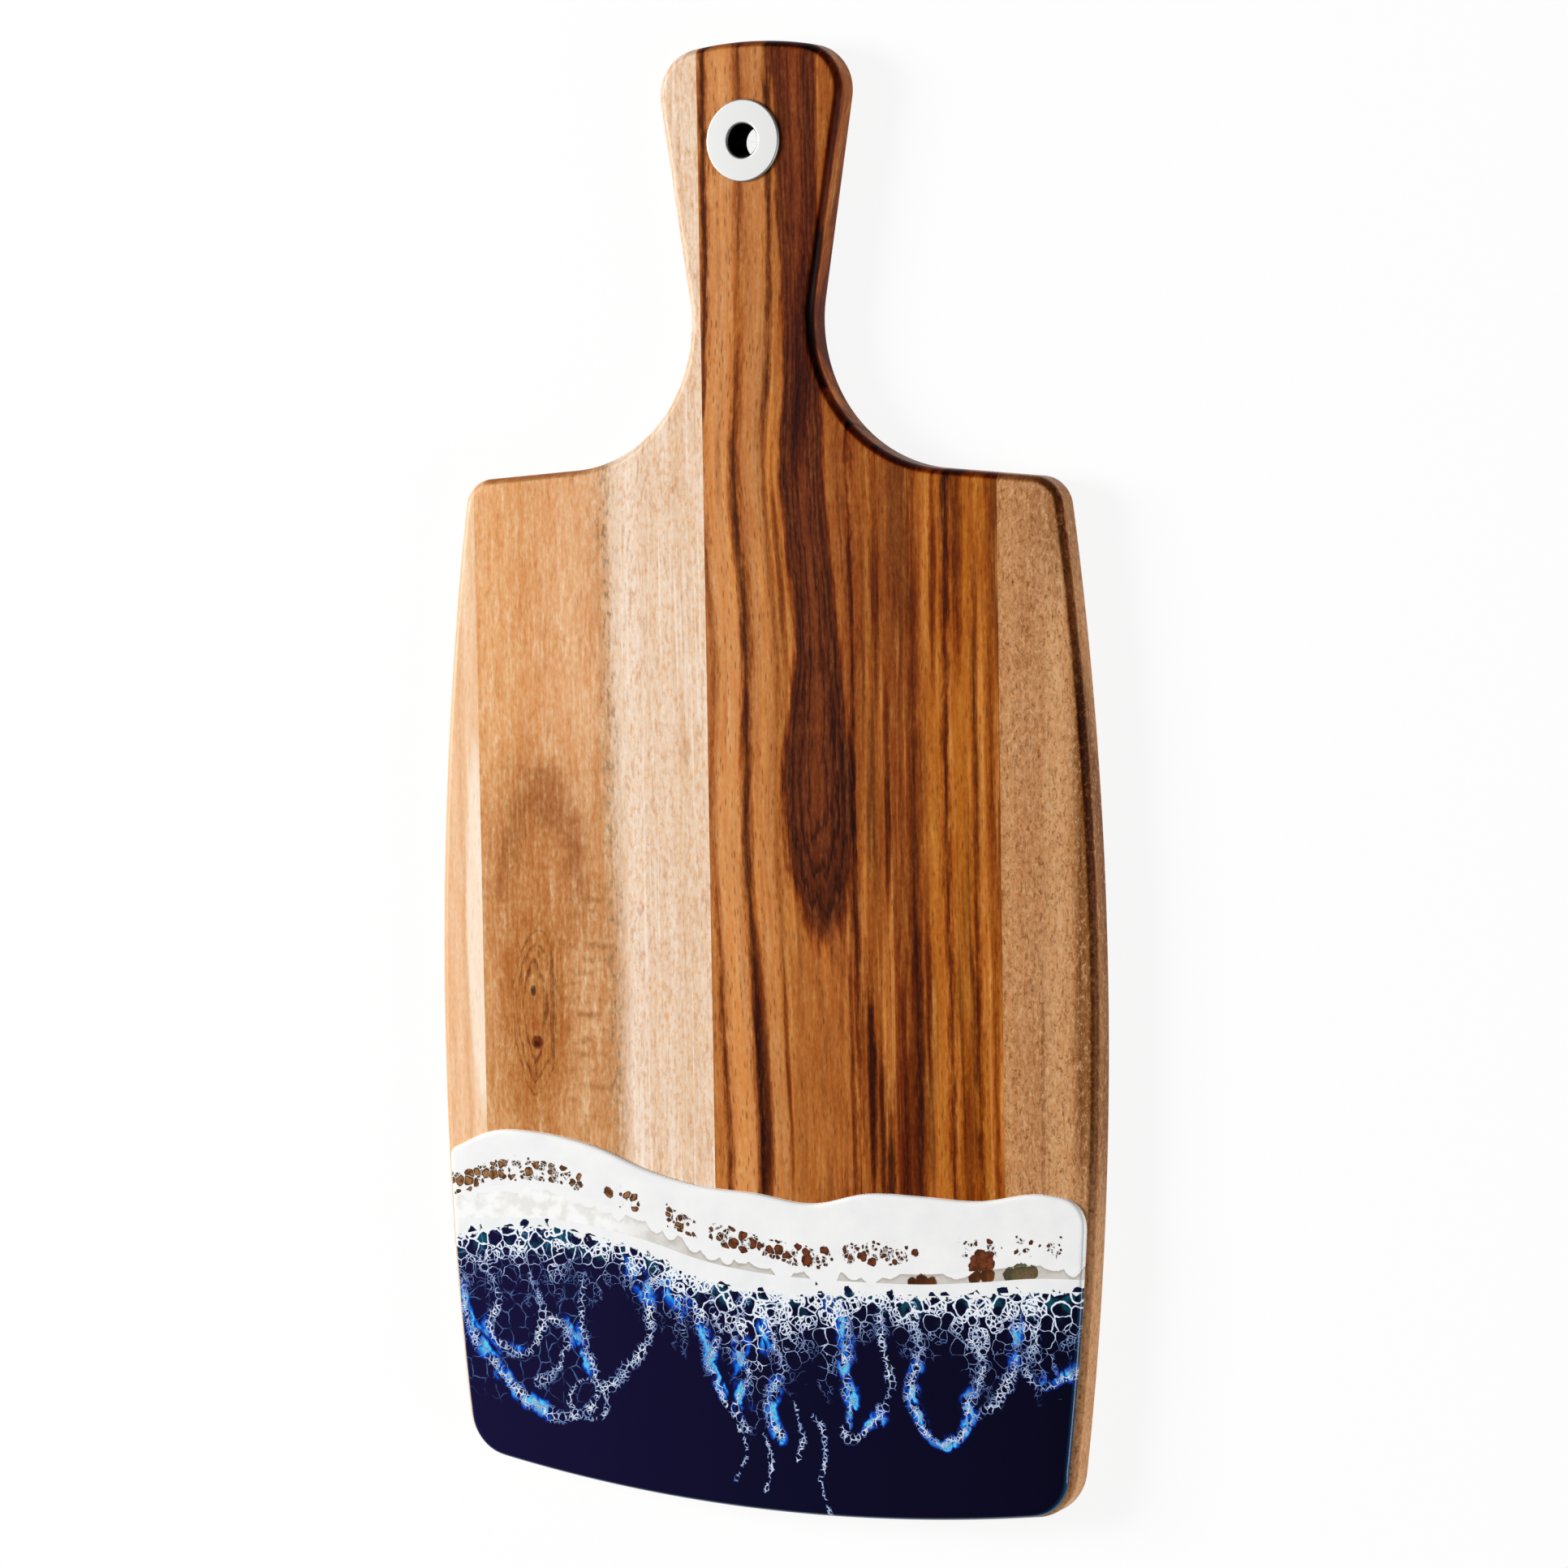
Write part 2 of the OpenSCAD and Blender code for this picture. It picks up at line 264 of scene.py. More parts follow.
# Staves: the whole board is lofted with its round-over, then sawn along the glue lines

round_steps = 8
drill_reach = 5.0


def board_blank():
    turn = np.radians(np.linspace(0, 90, round_steps + 1))
    lower = [(edge_r * (1 - math.sin(a)), edge_r * (1 - math.cos(a))) for a in turn]
    rings = lower + [(inset, board_t - z) for inset, z in lower[::-1]]
    verts, faces = [], []
    for inset, z in rings:
        loop = whole_loop(half[:, :2] - inset * half[:, 2:])
        verts += [(x, y, z) for x, y in loop]
    n = 2 * half_n - 2
    for k in range(len(rings) - 1):
        a = k * n
        faces += [(a + j, a + (j + 1) % n, a + n + (j + 1) % n, a + n + j) for j in range(n)]
    top = (len(rings) - 1) * n
    for i in range(half_n - 1):
        row = list(dict.fromkeys([i, i + 1, (n - i - 1) % n, (n - i) % n]))
        faces.append([top + j for j in row])
        faces.append(row[::-1])
    mesh = mesh_of("blank", verts, faces)
    wood = bmesh.new()
    wood.from_mesh(mesh)
    bpy.data.meshes.remove(mesh)
    return wood


blank = board_blank()


def saw_stave(node, from_x, to_x):
    """The part of the blank between two glue lines, or up to the side where there is none."""
    skew = math.radians(stave_skew)
    across = Vector((math.cos(skew), math.sin(skew), 0))
    wood = blank.copy()
    for x, keep_above in ((from_x, True), (to_x, False)):
        if x is None:
            continue
        bmesh.ops.bisect_plane(
            wood, geom=wood.verts[:] + wood.edges[:] + wood.faces[:],
            plane_co=across * x / 1000, plane_no=across,
            clear_inner=keep_above, clear_outer=not keep_above,
        )
        bmesh.ops.holes_fill(wood, edges=[e for e in wood.edges if e.is_boundary], sides=0)
    bmesh.ops.recalc_face_normals(wood, faces=wood.faces[:])
    mesh = bpy.data.meshes.new(node)
    wood.to_mesh(mesh)
    wood.free()
    return new_piece(node + "_wood", mesh, node)


def lathe(name, profile, steps):
    """A closed profile of radius and height, turned about the hang hole's axis."""
    turns = np.linspace(0, 2 * np.pi, steps, endpoint=False)
    n = len(profile)
    points = [(hang_x + r * math.cos(a), hang_y + r * math.sin(a), z) for a in turns for r, z in profile]
    faces = [
        (k * n + i, ((k + 1) % steps) * n + i, ((k + 1) % steps) * n + (i + 1) % n, k * n + (i + 1) % n)
        for k in range(steps) for i in range(n)
    ]
    return mesh_of(name, points, faces)


def bore_for_eyelet(stave):
    """Drills the barrel's hole and the washer's seat."""
    hole, seat, axis = barrel_r + eyelet_gap, washer_r + eyelet_gap, 0.01
    low, high = -drill_reach, board_t + drill_reach
    profile = [(axis, low), (seat, low), (seat, washer_t), (hole, washer_t), (hole, high), (axis, high)]
    drill = new_object("drill", lathe("drill", profile, steps=96))
    cut = stave.modifiers.new("bore", "BOOLEAN")
    cut.object = drill
    cut.operation = "DIFFERENCE"
    cut.solver = "EXACT"
    bpy.context.view_layer.update()
    bored = bpy.data.meshes.new_from_object(stave.evaluated_get(bpy.context.evaluated_depsgraph_get()))
    stave.modifiers.clear()
    stave.data = bored
    bpy.data.objects.remove(drill)


left_edge_wood = saw_stave("left_edge_stave", None, left_joint_x)
left_wood = saw_stave("left_stave", left_joint_x, heart_joint_x)
heart_wood = saw_stave("heart_stave", heart_joint_x, right_joint_x)
right_wood = saw_stave("right_stave", right_joint_x, None)
blank.free()
bore_for_eyelet(heart_wood)
for stave in (left_edge_wood, left_wood, heart_wood, right_wood):
    shade_smooth(stave, degrees=40)
    keep_flats(stave)


# Eyelet and washer: turned and set through the handle

def bend(cx, cz, radius, start, end, steps):
    """Points along a rounded corner of a turned profile, in degrees."""
    return [
        (cx + radius * math.cos(a), cz + radius * math.sin(a))
        for a in np.radians(np.linspace(start, end, steps + 1))
    ]


def eyelet_profile():
    """Half a section of the eyelet: a barrel flared at the back, and a flange rounded into the bore."""
    face_z = board_t + flange_t
    chamfer, foot_r, rim_r, mouth_r = 0.15, 0.25, 0.6, 1.1
    return (
        [(bore_r, chamfer), (bore_r + chamfer, 0), (barrel_r + flare_r - 0.1, 0), (barrel_r + flare_r, 0.1)]
        + [(barrel_r, flare_r), (barrel_r, board_t), (flange_r - foot_r, board_t)]
        + bend(flange_r - foot_r, board_t + foot_r, foot_r, -90, 0, 3)
        + bend(flange_r - rim_r, face_z - rim_r, rim_r, 0, 90, 6)
        + bend(bore_r + mouth_r, face_z - mouth_r, mouth_r, 90, 180, 10)
    )


def washer_profile():
    """Half a section of the washer, with room for the barrel's flare."""
    hole_r = barrel_r + eyelet_gap
    rim_r = 0.3
    return (
        [(hole_r + flare_r, 0.0), (washer_r - rim_r, 0.0)]
        + bend(washer_r - rim_r, rim_r, rim_r, -90, 0, 4)
        + [(washer_r, washer_t), (hole_r, washer_t), (hole_r, flare_r)]
    )


def turn_ring(name, profile, node):
    """A ring of the eyelet, turned from its profile."""
    mesh = lathe(name, profile, steps=144)
    mesh.validate()
    ring = new_piece(name, mesh, node)
    shade_smooth(ring, degrees=35)
    keep_flats(ring)
    return ring


eyelet_ring = turn_ring("eyelet_ring", eyelet_profile(), "eyelet")
back_washer = turn_ring("back_washer", washer_profile(), "eyelet_washer")


# Resin: one film, with a rounded edge that laps over the end, told apart into its four batches

# Spacings of the film's points in millimetres, and how many there are along its lines
above_resin = 200.0
edge_step = 0.25
film_step = 0.4
grid_step = 2.0
grid_half_w = 128
grid_l = 132
grid_gap = 4.2
shore_points = 1100
seam_points = 420
smooth_passes = 40
top_splits = 2
rim_step = 0.15
rim_snap = 0.1
weld = 1e-5
ring_shares = (0, 0.05, 0.15, 0.3, 0.5, 0.72, 1.0)


def smooth_way(a, b, c, d, u):
    """A smooth curve from b to c, a share u along, with a and d as its neighbours."""
    return b + u * (c - a + u * (2 * a - 5 * b + 4 * c - d + u * (3 * b - 3 * c + d - a))) / 2


def swell_at(heights, x):
    """A smooth curve through heights at even places across the board."""
    last = len(heights) - 1
    t = np.clip((np.asarray(x, float) / board_w + 0.5) * last, 0, last)
    i = np.minimum(t.astype(int), last - 1)
    around = [np.asarray(heights, float)[np.clip(i + k, 0, last)] for k in (-1, 0, 1, 2)]
    return smooth_way(*around, t - i)


def line_y(line, x):
    """Height of a resin line; the shore line turns down in a round corner at the right."""
    least, heights = resin_lines[line]
    y = end_y + least + swell_at(heights, x)
    if line == shore:
        below_belly = belly_y - least - shore_corner_rise
        side_x = board_w / 2 - side_r + math.sqrt(side_r ** 2 - below_belly ** 2)
        d = np.clip(x - (side_x - resin_margin - shore_corner_r), 0, shore_corner_r)
        y = y - shore_corner_r + np.sqrt(shore_corner_r ** 2 - d ** 2)
    return y


def even_steps(points, spacing):
    """An open line resampled at an even spacing."""
    points = np.asarray(points, float)
    run = np.concatenate([[0], np.cumsum(np.linalg.norm(np.diff(points, axis=0), axis=1))])
    at = np.linspace(0, run[-1], max(2, int(round(run[-1] / spacing)) + 1))
    return np.stack([np.interp(at, run, points[:, k]) for k in (0, 1)], 1)


def tree_of(points):
    """A search tree for the nearest of some points."""
    tree = KDTree(len(points))
    for i, (x, y) in enumerate(points):
        tree.insert((x, y, 0), i)
    tree.balance()
    return tree


def distance_to(points, line):
    """Distance from points to the nearest of a line's closely spaced points."""
    tree = tree_of(line)
    return np.array([tree.find((x, y, 0))[2] for x, y in points])


def inside(points, loop):
    """Which points lie inside a closed loop."""
    x, y = points.T
    hit = np.zeros(len(points), bool)
    for (x1, y1), (x2, y2) in zip(loop, np.roll(loop, -1, axis=0)):
        if y1 == y2:
            continue
        hit ^= ((y1 > y) != (y2 > y)) & (x < (x2 - x1) * (y - y1) / (y2 - y1) + x1)
    return hit


def film_edge():
    """The film's closed edge: the outline drawn in, up to the shore line, and back along that."""
    past_end = np.clip((np.arange(half_n) - end_steps) / corner_steps, 0, 1)
    inset = resin_end_margin + (resin_margin - resin_end_margin) * past_end
    outline = half[:, :2] - inset[:, None] * half[:, 2:]
    outline = outline[outline[:, 1] < end_y + above_resin]
    sides = []
    for mirror in (1, -1):
        side = even_steps(outline * [mirror, 1], edge_step)
        sides.append(side[side[:, 1] < line_y(shore, side[:, 0])])
    right, left = sides
    x = np.linspace(right[-1, 0], left[-1, 0], shore_points)[1:-1]
    top = np.stack([x, line_y(shore, x)], 1)
    smooth = even_steps(np.concatenate([right, top, left[:0:-1], right[:1]]), film_step)[:-1]
    for _ in range(smooth_passes):
        smooth = (np.roll(smooth, 1, 0) + 2 * smooth + np.roll(smooth, -1, 0)) / 4
    return smooth


def wood_height(points):
    """Height of the wood's upper surface, over its face and its round-over."""
    outline = even_steps(np.concatenate([whole_loop(half[:, :2]), half[:1, :2]]), edge_step)
    depth = np.clip(edge_r - distance_to(points, outline), 0, edge_r)
    return board_t - edge_r + np.sqrt(edge_r ** 2 - depth ** 2)


def roll_width(y):
    """How wide the film's rounded edge is: wider where it laps over the end."""
    return side_roll + (end_roll - side_roll) * np.clip((end_y + end_roll_top - y) / end_roll_fade, 0, 1)


def film_points(edge):
    """The film's points seen from above, and the lines that its triangles keep to: edge and seams."""
    tangent = np.roll(edge, -1, 0) - np.roll(edge, 1, 0)
    normal = np.stack([-tangent[:, 1], tangent[:, 0]], 1)
    normal /= np.linalg.norm(normal, axis=1)[:, None]
    roll = roll_width(edge[:, 1])
    rings = [edge + normal * (roll * share)[:, None] for share in ring_shares]
    columns = np.arange(-grid_half_w, grid_half_w, grid_step)
    rows = np.arange(0, grid_l, grid_step) + end_y
    grid = np.stack(np.meshgrid(columns, rows), -1).reshape(-1, 2)
    even_row = np.round((grid[:, 1] - end_y) / grid_step) % 2 == 0
    grid[:, 0] += np.where(even_row, grid_step / 4, -grid_step / 4)
    grid = grid[inside(grid, edge)]
    grid = grid[distance_to(grid, edge) > grid_gap]
    x = np.linspace(-board_w / 2, board_w / 2, seam_points)
    points = np.concatenate(rings + [grid] + [np.stack([x, line_y(line, x)], 1) for line in seams])
    lines = [(i, (i + 1) % len(edge)) for i in range(len(edge))]
    for start in range(len(points) - len(seams) * seam_points, len(points), seam_points):
        lines += [(i, i + 1) for i in range(start, start + seam_points - 1)]
    return points, lines


def film_triangles(edge):
    """The film's points seen from above and its triangles, all turned the same way."""
    points, lines = film_points(edge)
    flat, _, faces, *_ = delaunay_2d_cdt([Vector(v) for v in points], lines, [], 0, weld)
    flat = np.array([tuple(v) for v in flat])
    faces = np.array([f for f in faces if len(f) == 3])
    faces = faces[inside(flat[faces].mean(1), edge)]
    a, b, c = (flat[faces[:, k]] for k in range(3))
    turned = (b[:, 0] - a[:, 0]) * (c[:, 1] - a[:, 1]) < (b[:, 1] - a[:, 1]) * (c[:, 0] - a[:, 0])
    faces[turned] = faces[turned][:, ::-1]
    used, faces = np.unique(faces, return_inverse=True)
    return flat[used], faces.reshape(-1, 3)


def pour_resin():
    """The film: rows of x, y, top, bed and distance from the edge, then triangles and each one's batch."""
    edge = film_edge()
    flat, faces = film_triangles(edge)
    away = distance_to(flat, even_steps(np.concatenate([edge, edge[:1]]), rim_step))
    away[away < rim_snap] = 0
    bulge = np.sqrt(np.clip(1 - (1 - np.clip(away / roll_width(flat[:, 1]), 0, 1)) ** 2, 0, 1))
    bed = wood_height(flat)
    top = bed + film_lip + (board_t + resin_t - bed - film_lip) * bulge
    x, y = flat[faces].mean(1).T
    batch = sum((y > line_y(line, x)).astype(int) for line in seams)
    return np.column_stack([flat, top, bed, away]), faces, batch


film_rows, film_faces, film_batch = pour_resin()


def sides_of(faces):
    """The triangles' sides: all the first ones, then the second and the third."""
    return np.concatenate([faces[:, [0, 1]], faces[:, [1, 2]], faces[:, [2, 0]]])


def split_finer(rows, faces, rim):
    """Splits each triangle into four, and puts the new points into the runs along the rim."""
    n = len(rows)
    sides = np.sort(sides_of(faces), axis=1)
    keys, back = np.unique(sides[:, 0] * n + sides[:, 1], return_inverse=True)
    pairs = np.stack([keys // n, keys % n], 1)
    between = {tuple(p): n + i for i, p in enumerate(pairs.tolist())}
    finer_rim = []
    for run in rim:
        finer = [v for p, q in zip(run, run[1:]) for v in (p, between[min(p, q), max(p, q)])]
        finer_rim.append(finer + run[-1:])
    a, b, c = faces.T
    ab, bc, ca = n + back.reshape(3, -1)
    quarters = ((a, ab, ca), (ab, b, bc), (ca, bc, c), (ab, bc, ca))
    finer_faces = np.concatenate([np.stack(f, 1) for f in quarters])
    return np.concatenate([rows, rows[pairs].mean(1)]), finer_faces, finer_rim


def resin_batch(name, batch, node, filled=True):
    """One batch of the film, split finely for the bubbles. Where filled, it has an underside and walls."""
    used, faces = np.unique(film_faces[film_batch == batch], return_inverse=True)
    coarse, coarse_faces = film_rows[used], faces.reshape(-1, 3)
    sides = {tuple(s) for s in sides_of(coarse_faces).tolist()}
    rim = [[i, j] for i, j in sorted(sides) if (j, i) not in sides]
    rows, faces = coarse, coarse_faces
    for _ in range(top_splits):
        rows, faces, rim = split_finer(rows, faces, rim)
    points, polygons = rows[:, :3], faces.tolist()
    if filled:
        n = len(rows)
        points = np.concatenate([points, coarse[:, [0, 1, 3]]])
        polygons += (coarse_faces[:, ::-1] + n).tolist()
        polygons += [[run[0], run[0] + n, run[-1] + n] + run[:0:-1] for run in rim]
    mesh = mesh_of(name, points, polygons)
    mesh.validate()
    film = new_piece(name, mesh, node)
    shade_smooth(film, degrees=50)
    return film, rows


sea_film, sea_rows = resin_batch("sea_film", sea, "sea_resin")
foam_film, foam_rows = resin_batch("foam_film", foam, "foam_resin")
tide_film, tide_rows = resin_batch("tide_film", tide, "tide_resin", filled=False)
shore_film, shore_rows = resin_batch("shore_film", shore, "shore_resin")


# Bubbles and lacing: where the white has drawn back from the navy and from the wood

chance = np.random.default_rng(12)
# How finely a run is rounded off, its points' spacing, and how many points lie between two widths of its band
# and between two of its thread
run_fineness = 12
run_step = 0.4
band_step = 14
thread_step = 7
# Greatest half width of a run's band, and of its thread
lace_shape = (3.6, 0.3)
wisp_shape = (1.8, -0.2)
# How much a run sways by chance at each point, the share of that it keeps, the share of its width to which it
# narrows, and by how much its thread thins
run_sway = 0.3
sway_kept = 0.7
narrowest = 0.25
thread_thins = 1.4
# How far round its line a run is looked for, the distance at which others are cut off, and how far teeth stay
# from open holes
run_reach = 4.0
far_off = 3.0
tooth_gap = 5.0


def mark(film, name, values):
    """A number at each point of a film's top, for its material to read. Other points get the greatest."""
    full = np.full(len(film.data.vertices), float(np.max(values)), np.float32)
    full[:len(values)] = values
    film.data.attributes.new(name, "FLOAT", "POINT").data.foreach_set("value", full)


def run_points(run):
    """A smooth line through a run's places, in the board's frame."""
    run = np.asarray(run, float) + [0, end_y]
    ends = np.concatenate([run[:1], run, run[-1:]])
    t = np.linspace(0, len(run) - 1, run_fineness * len(run))
    i = np.minimum(t.astype(int), len(run) - 2)
    return even_steps(smooth_way(*(ends[i + k] for k in range(4)), (t - i)[:, None]), run_step)


def scatter(places, stray, half_w, height):
    """Humps along a line, each moved, widened and raised by chance within the limits given."""
    return [
        (at + chance.uniform(-stray, stray), chance.uniform(*half_w), chance.uniform(*height))
        for at in places
    ]


def highest(x, humps):
    """The highest of some round humps, given by their middle, half width and height."""
    heights = [height * np.clip(1 - ((x - at) / half_w) ** 2, 0, 1) for at, half_w, height in humps]
    return np.max(heights, axis=0)


def uneven(n, spacing, least, most):
    """A number for each of n steps that drifts by chance between two limits."""
    knots = chance.uniform(least, most, n // spacing + 2)
    return np.interp(np.arange(n), spacing * np.arange(len(knots)), knots)


def fringe_at(x, y):
    """How deep a spot lies in the lacing below the foam, which reaches down in wavering drips."""
    drips = scatter(np.arange(-122, 124, 5.5), stray=2.5, half_w=(1.8, 4.5), height=(1, 17))
    waver = x + 1.6 * np.sin(y / 6.5 + x / 23) + 0.9 * np.sin(y / 2.9 + x / 7)
    reach = swell_at(lace_reach, x) + highest(waver, drips) * swell_at(drip_share, x)
    return np.clip(1 - (line_y(sea, x) - y) / reach, -0.5, 1)


def lay_lace(spots):
    """How deep each spot lies in a run's band of cells, and how far from its broken thread."""
    band, thread = np.full(len(spots), -0.5), np.full(len(spots), far_off)
    runs = [(run, lace_shape) for run in lace_runs] + [(run, wisp_shape) for run in wisp_runs]
    for run, (widest, core) in runs:
        path = run_points(run)
        sway = np.cumsum(chance.normal(0, run_sway, (len(path), 2)), axis=0)
        path = path + sway_kept * (sway - np.linspace(sway[0], sway[-1], len(path)))
        width = uneven(len(path), band_step, narrowest * widest, widest)
        thick = uneven(len(path), thread_step, core - thread_thins, core)
        tree = tree_of(path)
        low, high = path.min(axis=0) - run_reach, path.max(axis=0) + run_reach
        for k in np.flatnonzero(((spots > low) & (spots < high)).all(axis=1)):
            _, i, d = tree.find((*spots[k], 0))
            band[k] = max(band[k], 1 - d / width[i])
            thread[k] = min(thread[k], d - thick[i])
    return band, thread


def mark_sea():
    """The navy: its fringe and lace, the blue beside that, and the distances from the foam and the edge."""
    spots = sea_rows[:, :2]
    x, y = spots.T
    mark(sea_film, "fringe", fringe_at(x, y))
    band, thread = lay_lace(spots)
    mark(sea_film, "run_band", band)
    mark(sea_film, "thread", thread)
    mark(sea_film, "down", line_y(sea, x) - y)
    near = [np.clip(1 - distance_to(spots, run_points(run)) / half_w, 0, 1) for run, half_w in blue_runs]
    mark(sea_film, "blue", np.max(near, axis=0))
    mark(sea_film, "from_edge", sea_rows[:, 4])


def mark_foam():
    """The inner white: the height above the navy."""
    mark(foam_film, "up", foam_rows[:, 1] - line_y(sea, foam_rows[:, 0]))


def mark_bursts():
    """The shore: how closely burst bubbles lie over the clear band, and the open holes that run into it."""
    x, y = shore_rows[:, :2].T
    above = y - line_y(tide, x)
    cluster = np.max([
        share * np.exp(-((x - at) / half_w) ** 4 - ((above - up) / burst_half_h) ** 4)
        for at, half_w, up, share in burst_clusters
    ], axis=0)
    mark(shore_film, "cluster", cluster)
    for film, rows in ((shore_film, shore_rows), (tide_film, tide_rows)):
        x, y = rows[:, :2].T
        above = y - line_y(tide, x)
        nearest = np.min([np.hypot(x - at, above - up) - r for at, up, r in open_holes], axis=0)
        mark(film, "opening", np.minimum(nearest, far_off))


def mark_teeth():
    """The clear band: the shore's lower edge hangs over it in teeth, apart from the open holes."""
    teeth = scatter(np.arange(-124, 126, 7.0), stray=2, half_w=(3.0, 6.0), height=(1.0, 4.2))
    low_holes = [at for at, up, r in open_holes if up < 0]
    teeth = [tooth for tooth in teeth if all(abs(tooth[0] - at) > tooth_gap for at in low_holes)]
    x, y = tide_rows[:, :2].T
    mark(tide_film, "below_teeth", line_y(tide, x) - y - highest(x, teeth))


mark_sea()
mark_foam()
mark_bursts()
mark_teeth()


# Materials

def linear(code):
    """An sRGB hex colour as linear values."""
    parts = [int(code[i:i + 2], 16) / 255 for i in (1, 3, 5)]
    return [v / 12.92 if v <= 0.04045 else ((v + 0.055) / 1.055) ** 2.4 for v in parts] + [1.0]


def wire(tree, node, inputs):
    """Sets a node's inputs. Each is a value, a hex colour, a socket, or a node for its first output."""
    for key, value in inputs.items():
        if isinstance(value, bpy.types.Node):
            value = value.outputs[0]
        if isinstance(value, bpy.types.NodeSocket):
            tree.links.new(value, node.inputs[key])
        else:
            node.inputs[key].default_value = linear(value) if isinstance(value, str) else value


def add(tree, kind, inputs=None, stops=None, **settings):
    """Adds a node with its settings and links. A ramp's stops have a hex colour or a share of white."""
    node = tree.nodes.new("ShaderNode" + kind)
    for key, value in settings.items():
        setattr(node, key, value)
    wire(tree, node, inputs or {})
    if stops:
        ramp = node.color_ramp.elements
        while len(ramp) > 1:
            ramp.remove(ramp[-1])
        ramp[0].position = stops[0][0]
        for at, _ in stops[1:]:
            ramp.new(at)
        for i, (_, tone) in enumerate(stops):
            ramp[i].color = linear(tone) if isinstance(tone, str) else (tone, tone, tone, 1)
    return node


def new_material(name):
    material = bpy.data.materials.new(name)
    material.use_nodes = True
    tree = material.node_tree
    return material, tree, tree.nodes["Principled BSDF"]


def place_on_board(tree, **turn):
    """A spot's place in millimetres, in the board's frame."""
    spot = add(tree, "TexCoord").outputs["Object"]
    return add(tree, "Mapping", {"Vector": spot, "Scale": (1000, 1000, 1000), **turn})


def mottle(tree, place, size, detail=2, **settings):
    """Soft noise from 0 to 1, with blotches of a size in millimetres, or of one for each axis."""
    sizes = size if isinstance(size, tuple) else (size, size, size)
    spread = add(tree, "Mapping", {"Vector": place, "Scale": [1 / mm for mm in sizes]})
    return add(tree, "TexNoise", {"Vector": spread, "Scale": 1, "Detail": detail, **settings})


def where(tree, *parts):
    """A share that holds where all its parts do, as their product.

    A part is a number, a mask, or a value with the places where its own share is 0 and where it is 1."""
    product = None
    for part in parts:
        if isinstance(part, tuple):
            value, none, full = part
            part = add(tree, "MapRange", {"Value": value, "From Min": none, "From Max": full})
        if product is not None:
            part = add(tree, "Math", {0: product, 1: part}, operation="MULTIPLY")
        product = part
    return product


def apart(tree, number, place):
    """How far a number lies from a place, on either side."""
    off = add(tree, "Math", {0: number, 1: place}, operation="SUBTRACT")
    return add(tree, "Math", {0: off}, operation="ABSOLUTE")


def along_board(tree, y, marks, most):
    """A number that changes smoothly along the board, from marks of height and value, up to most."""
    height = where(tree, (y, end_y, -end_y))
    way = add(tree, "ValToRGB", {"Fac": height}, stops=[(at / board_l, value / most) for at, value in marks])
    way.color_ramp.interpolation = "B_SPLINE"
    return add(tree, "Math", {0: way, 1: most}, operation="MULTIPLY")


def lens(tree, place, middle, half_size):
    """How deep a place lies in a lens-shaped mark: 1 in its middle, 0 at its edge, less outside."""
    off = add(tree, "VectorMath", {0: place, 1: (middle[0], middle[1] + end_y, 0)}, operation="SUBTRACT")
    shrink = (1 / half_size[0], 1 / half_size[1], 0)
    part = add(tree, "VectorMath", {0: off, 1: shrink}, operation="MULTIPLY")
    far = add(tree, "VectorMath", {0: part, 1: part}, operation="DOT_PRODUCT")
    return add(tree, "Math", {0: 1.0, 1: far.outputs["Value"]}, operation="SUBTRACT")


def roughen(tree, number, noise, amount):
    """A number made uneven by a noise, by up to an amount each way."""
    least = add(tree, "Math", {0: number, 1: amount}, operation="SUBTRACT")
    return add(tree, "Math", {0: noise, 1: 2 * amount, 2: least}, operation="MULTIPLY_ADD")


def tint(tree, colour, other, amount, least=0.0, most=1.0, strength=1.0, way="SMOOTHSTEP"):
    """Brings a colour towards another where the amount rises from least to most."""
    rise = {"Value": amount, "From Min": least, "From Max": most, "To Max": strength}
    share = add(tree, "MapRange", rise, interpolation_type=way)
    return add(tree, "Mix", {0: share, 6: colour, 7: other}, data_type="RGBA").outputs[2]


def soak(tree, colour, other, mask):
    """Darkens dense grain: the oil makes it redder before it turns dark."""
    deep = add(tree, "Math", {0: mask, 1: 0.75, 2: 1.0}, operation="MULTIPLY_ADD")
    return tint(tree, add(tree, "Gamma", {"Color": colour, "Gamma": deep}), other, mask, 0, 1, 0.9)


# Wood: acacia, planed, sanded and oiled. Stripes run along the grain with frayed edges, short dark
# pores lie in them, and the oil leaves a satin face with saturated colour

# How far growth lines lean for each millimetre of thickness, and the farthest that they may bend aside
grain_lean = 0.45
most_bend = 10.0
# Ripples beside the knot, in radians for each millimetre along the board
ripple_turn = 1.25


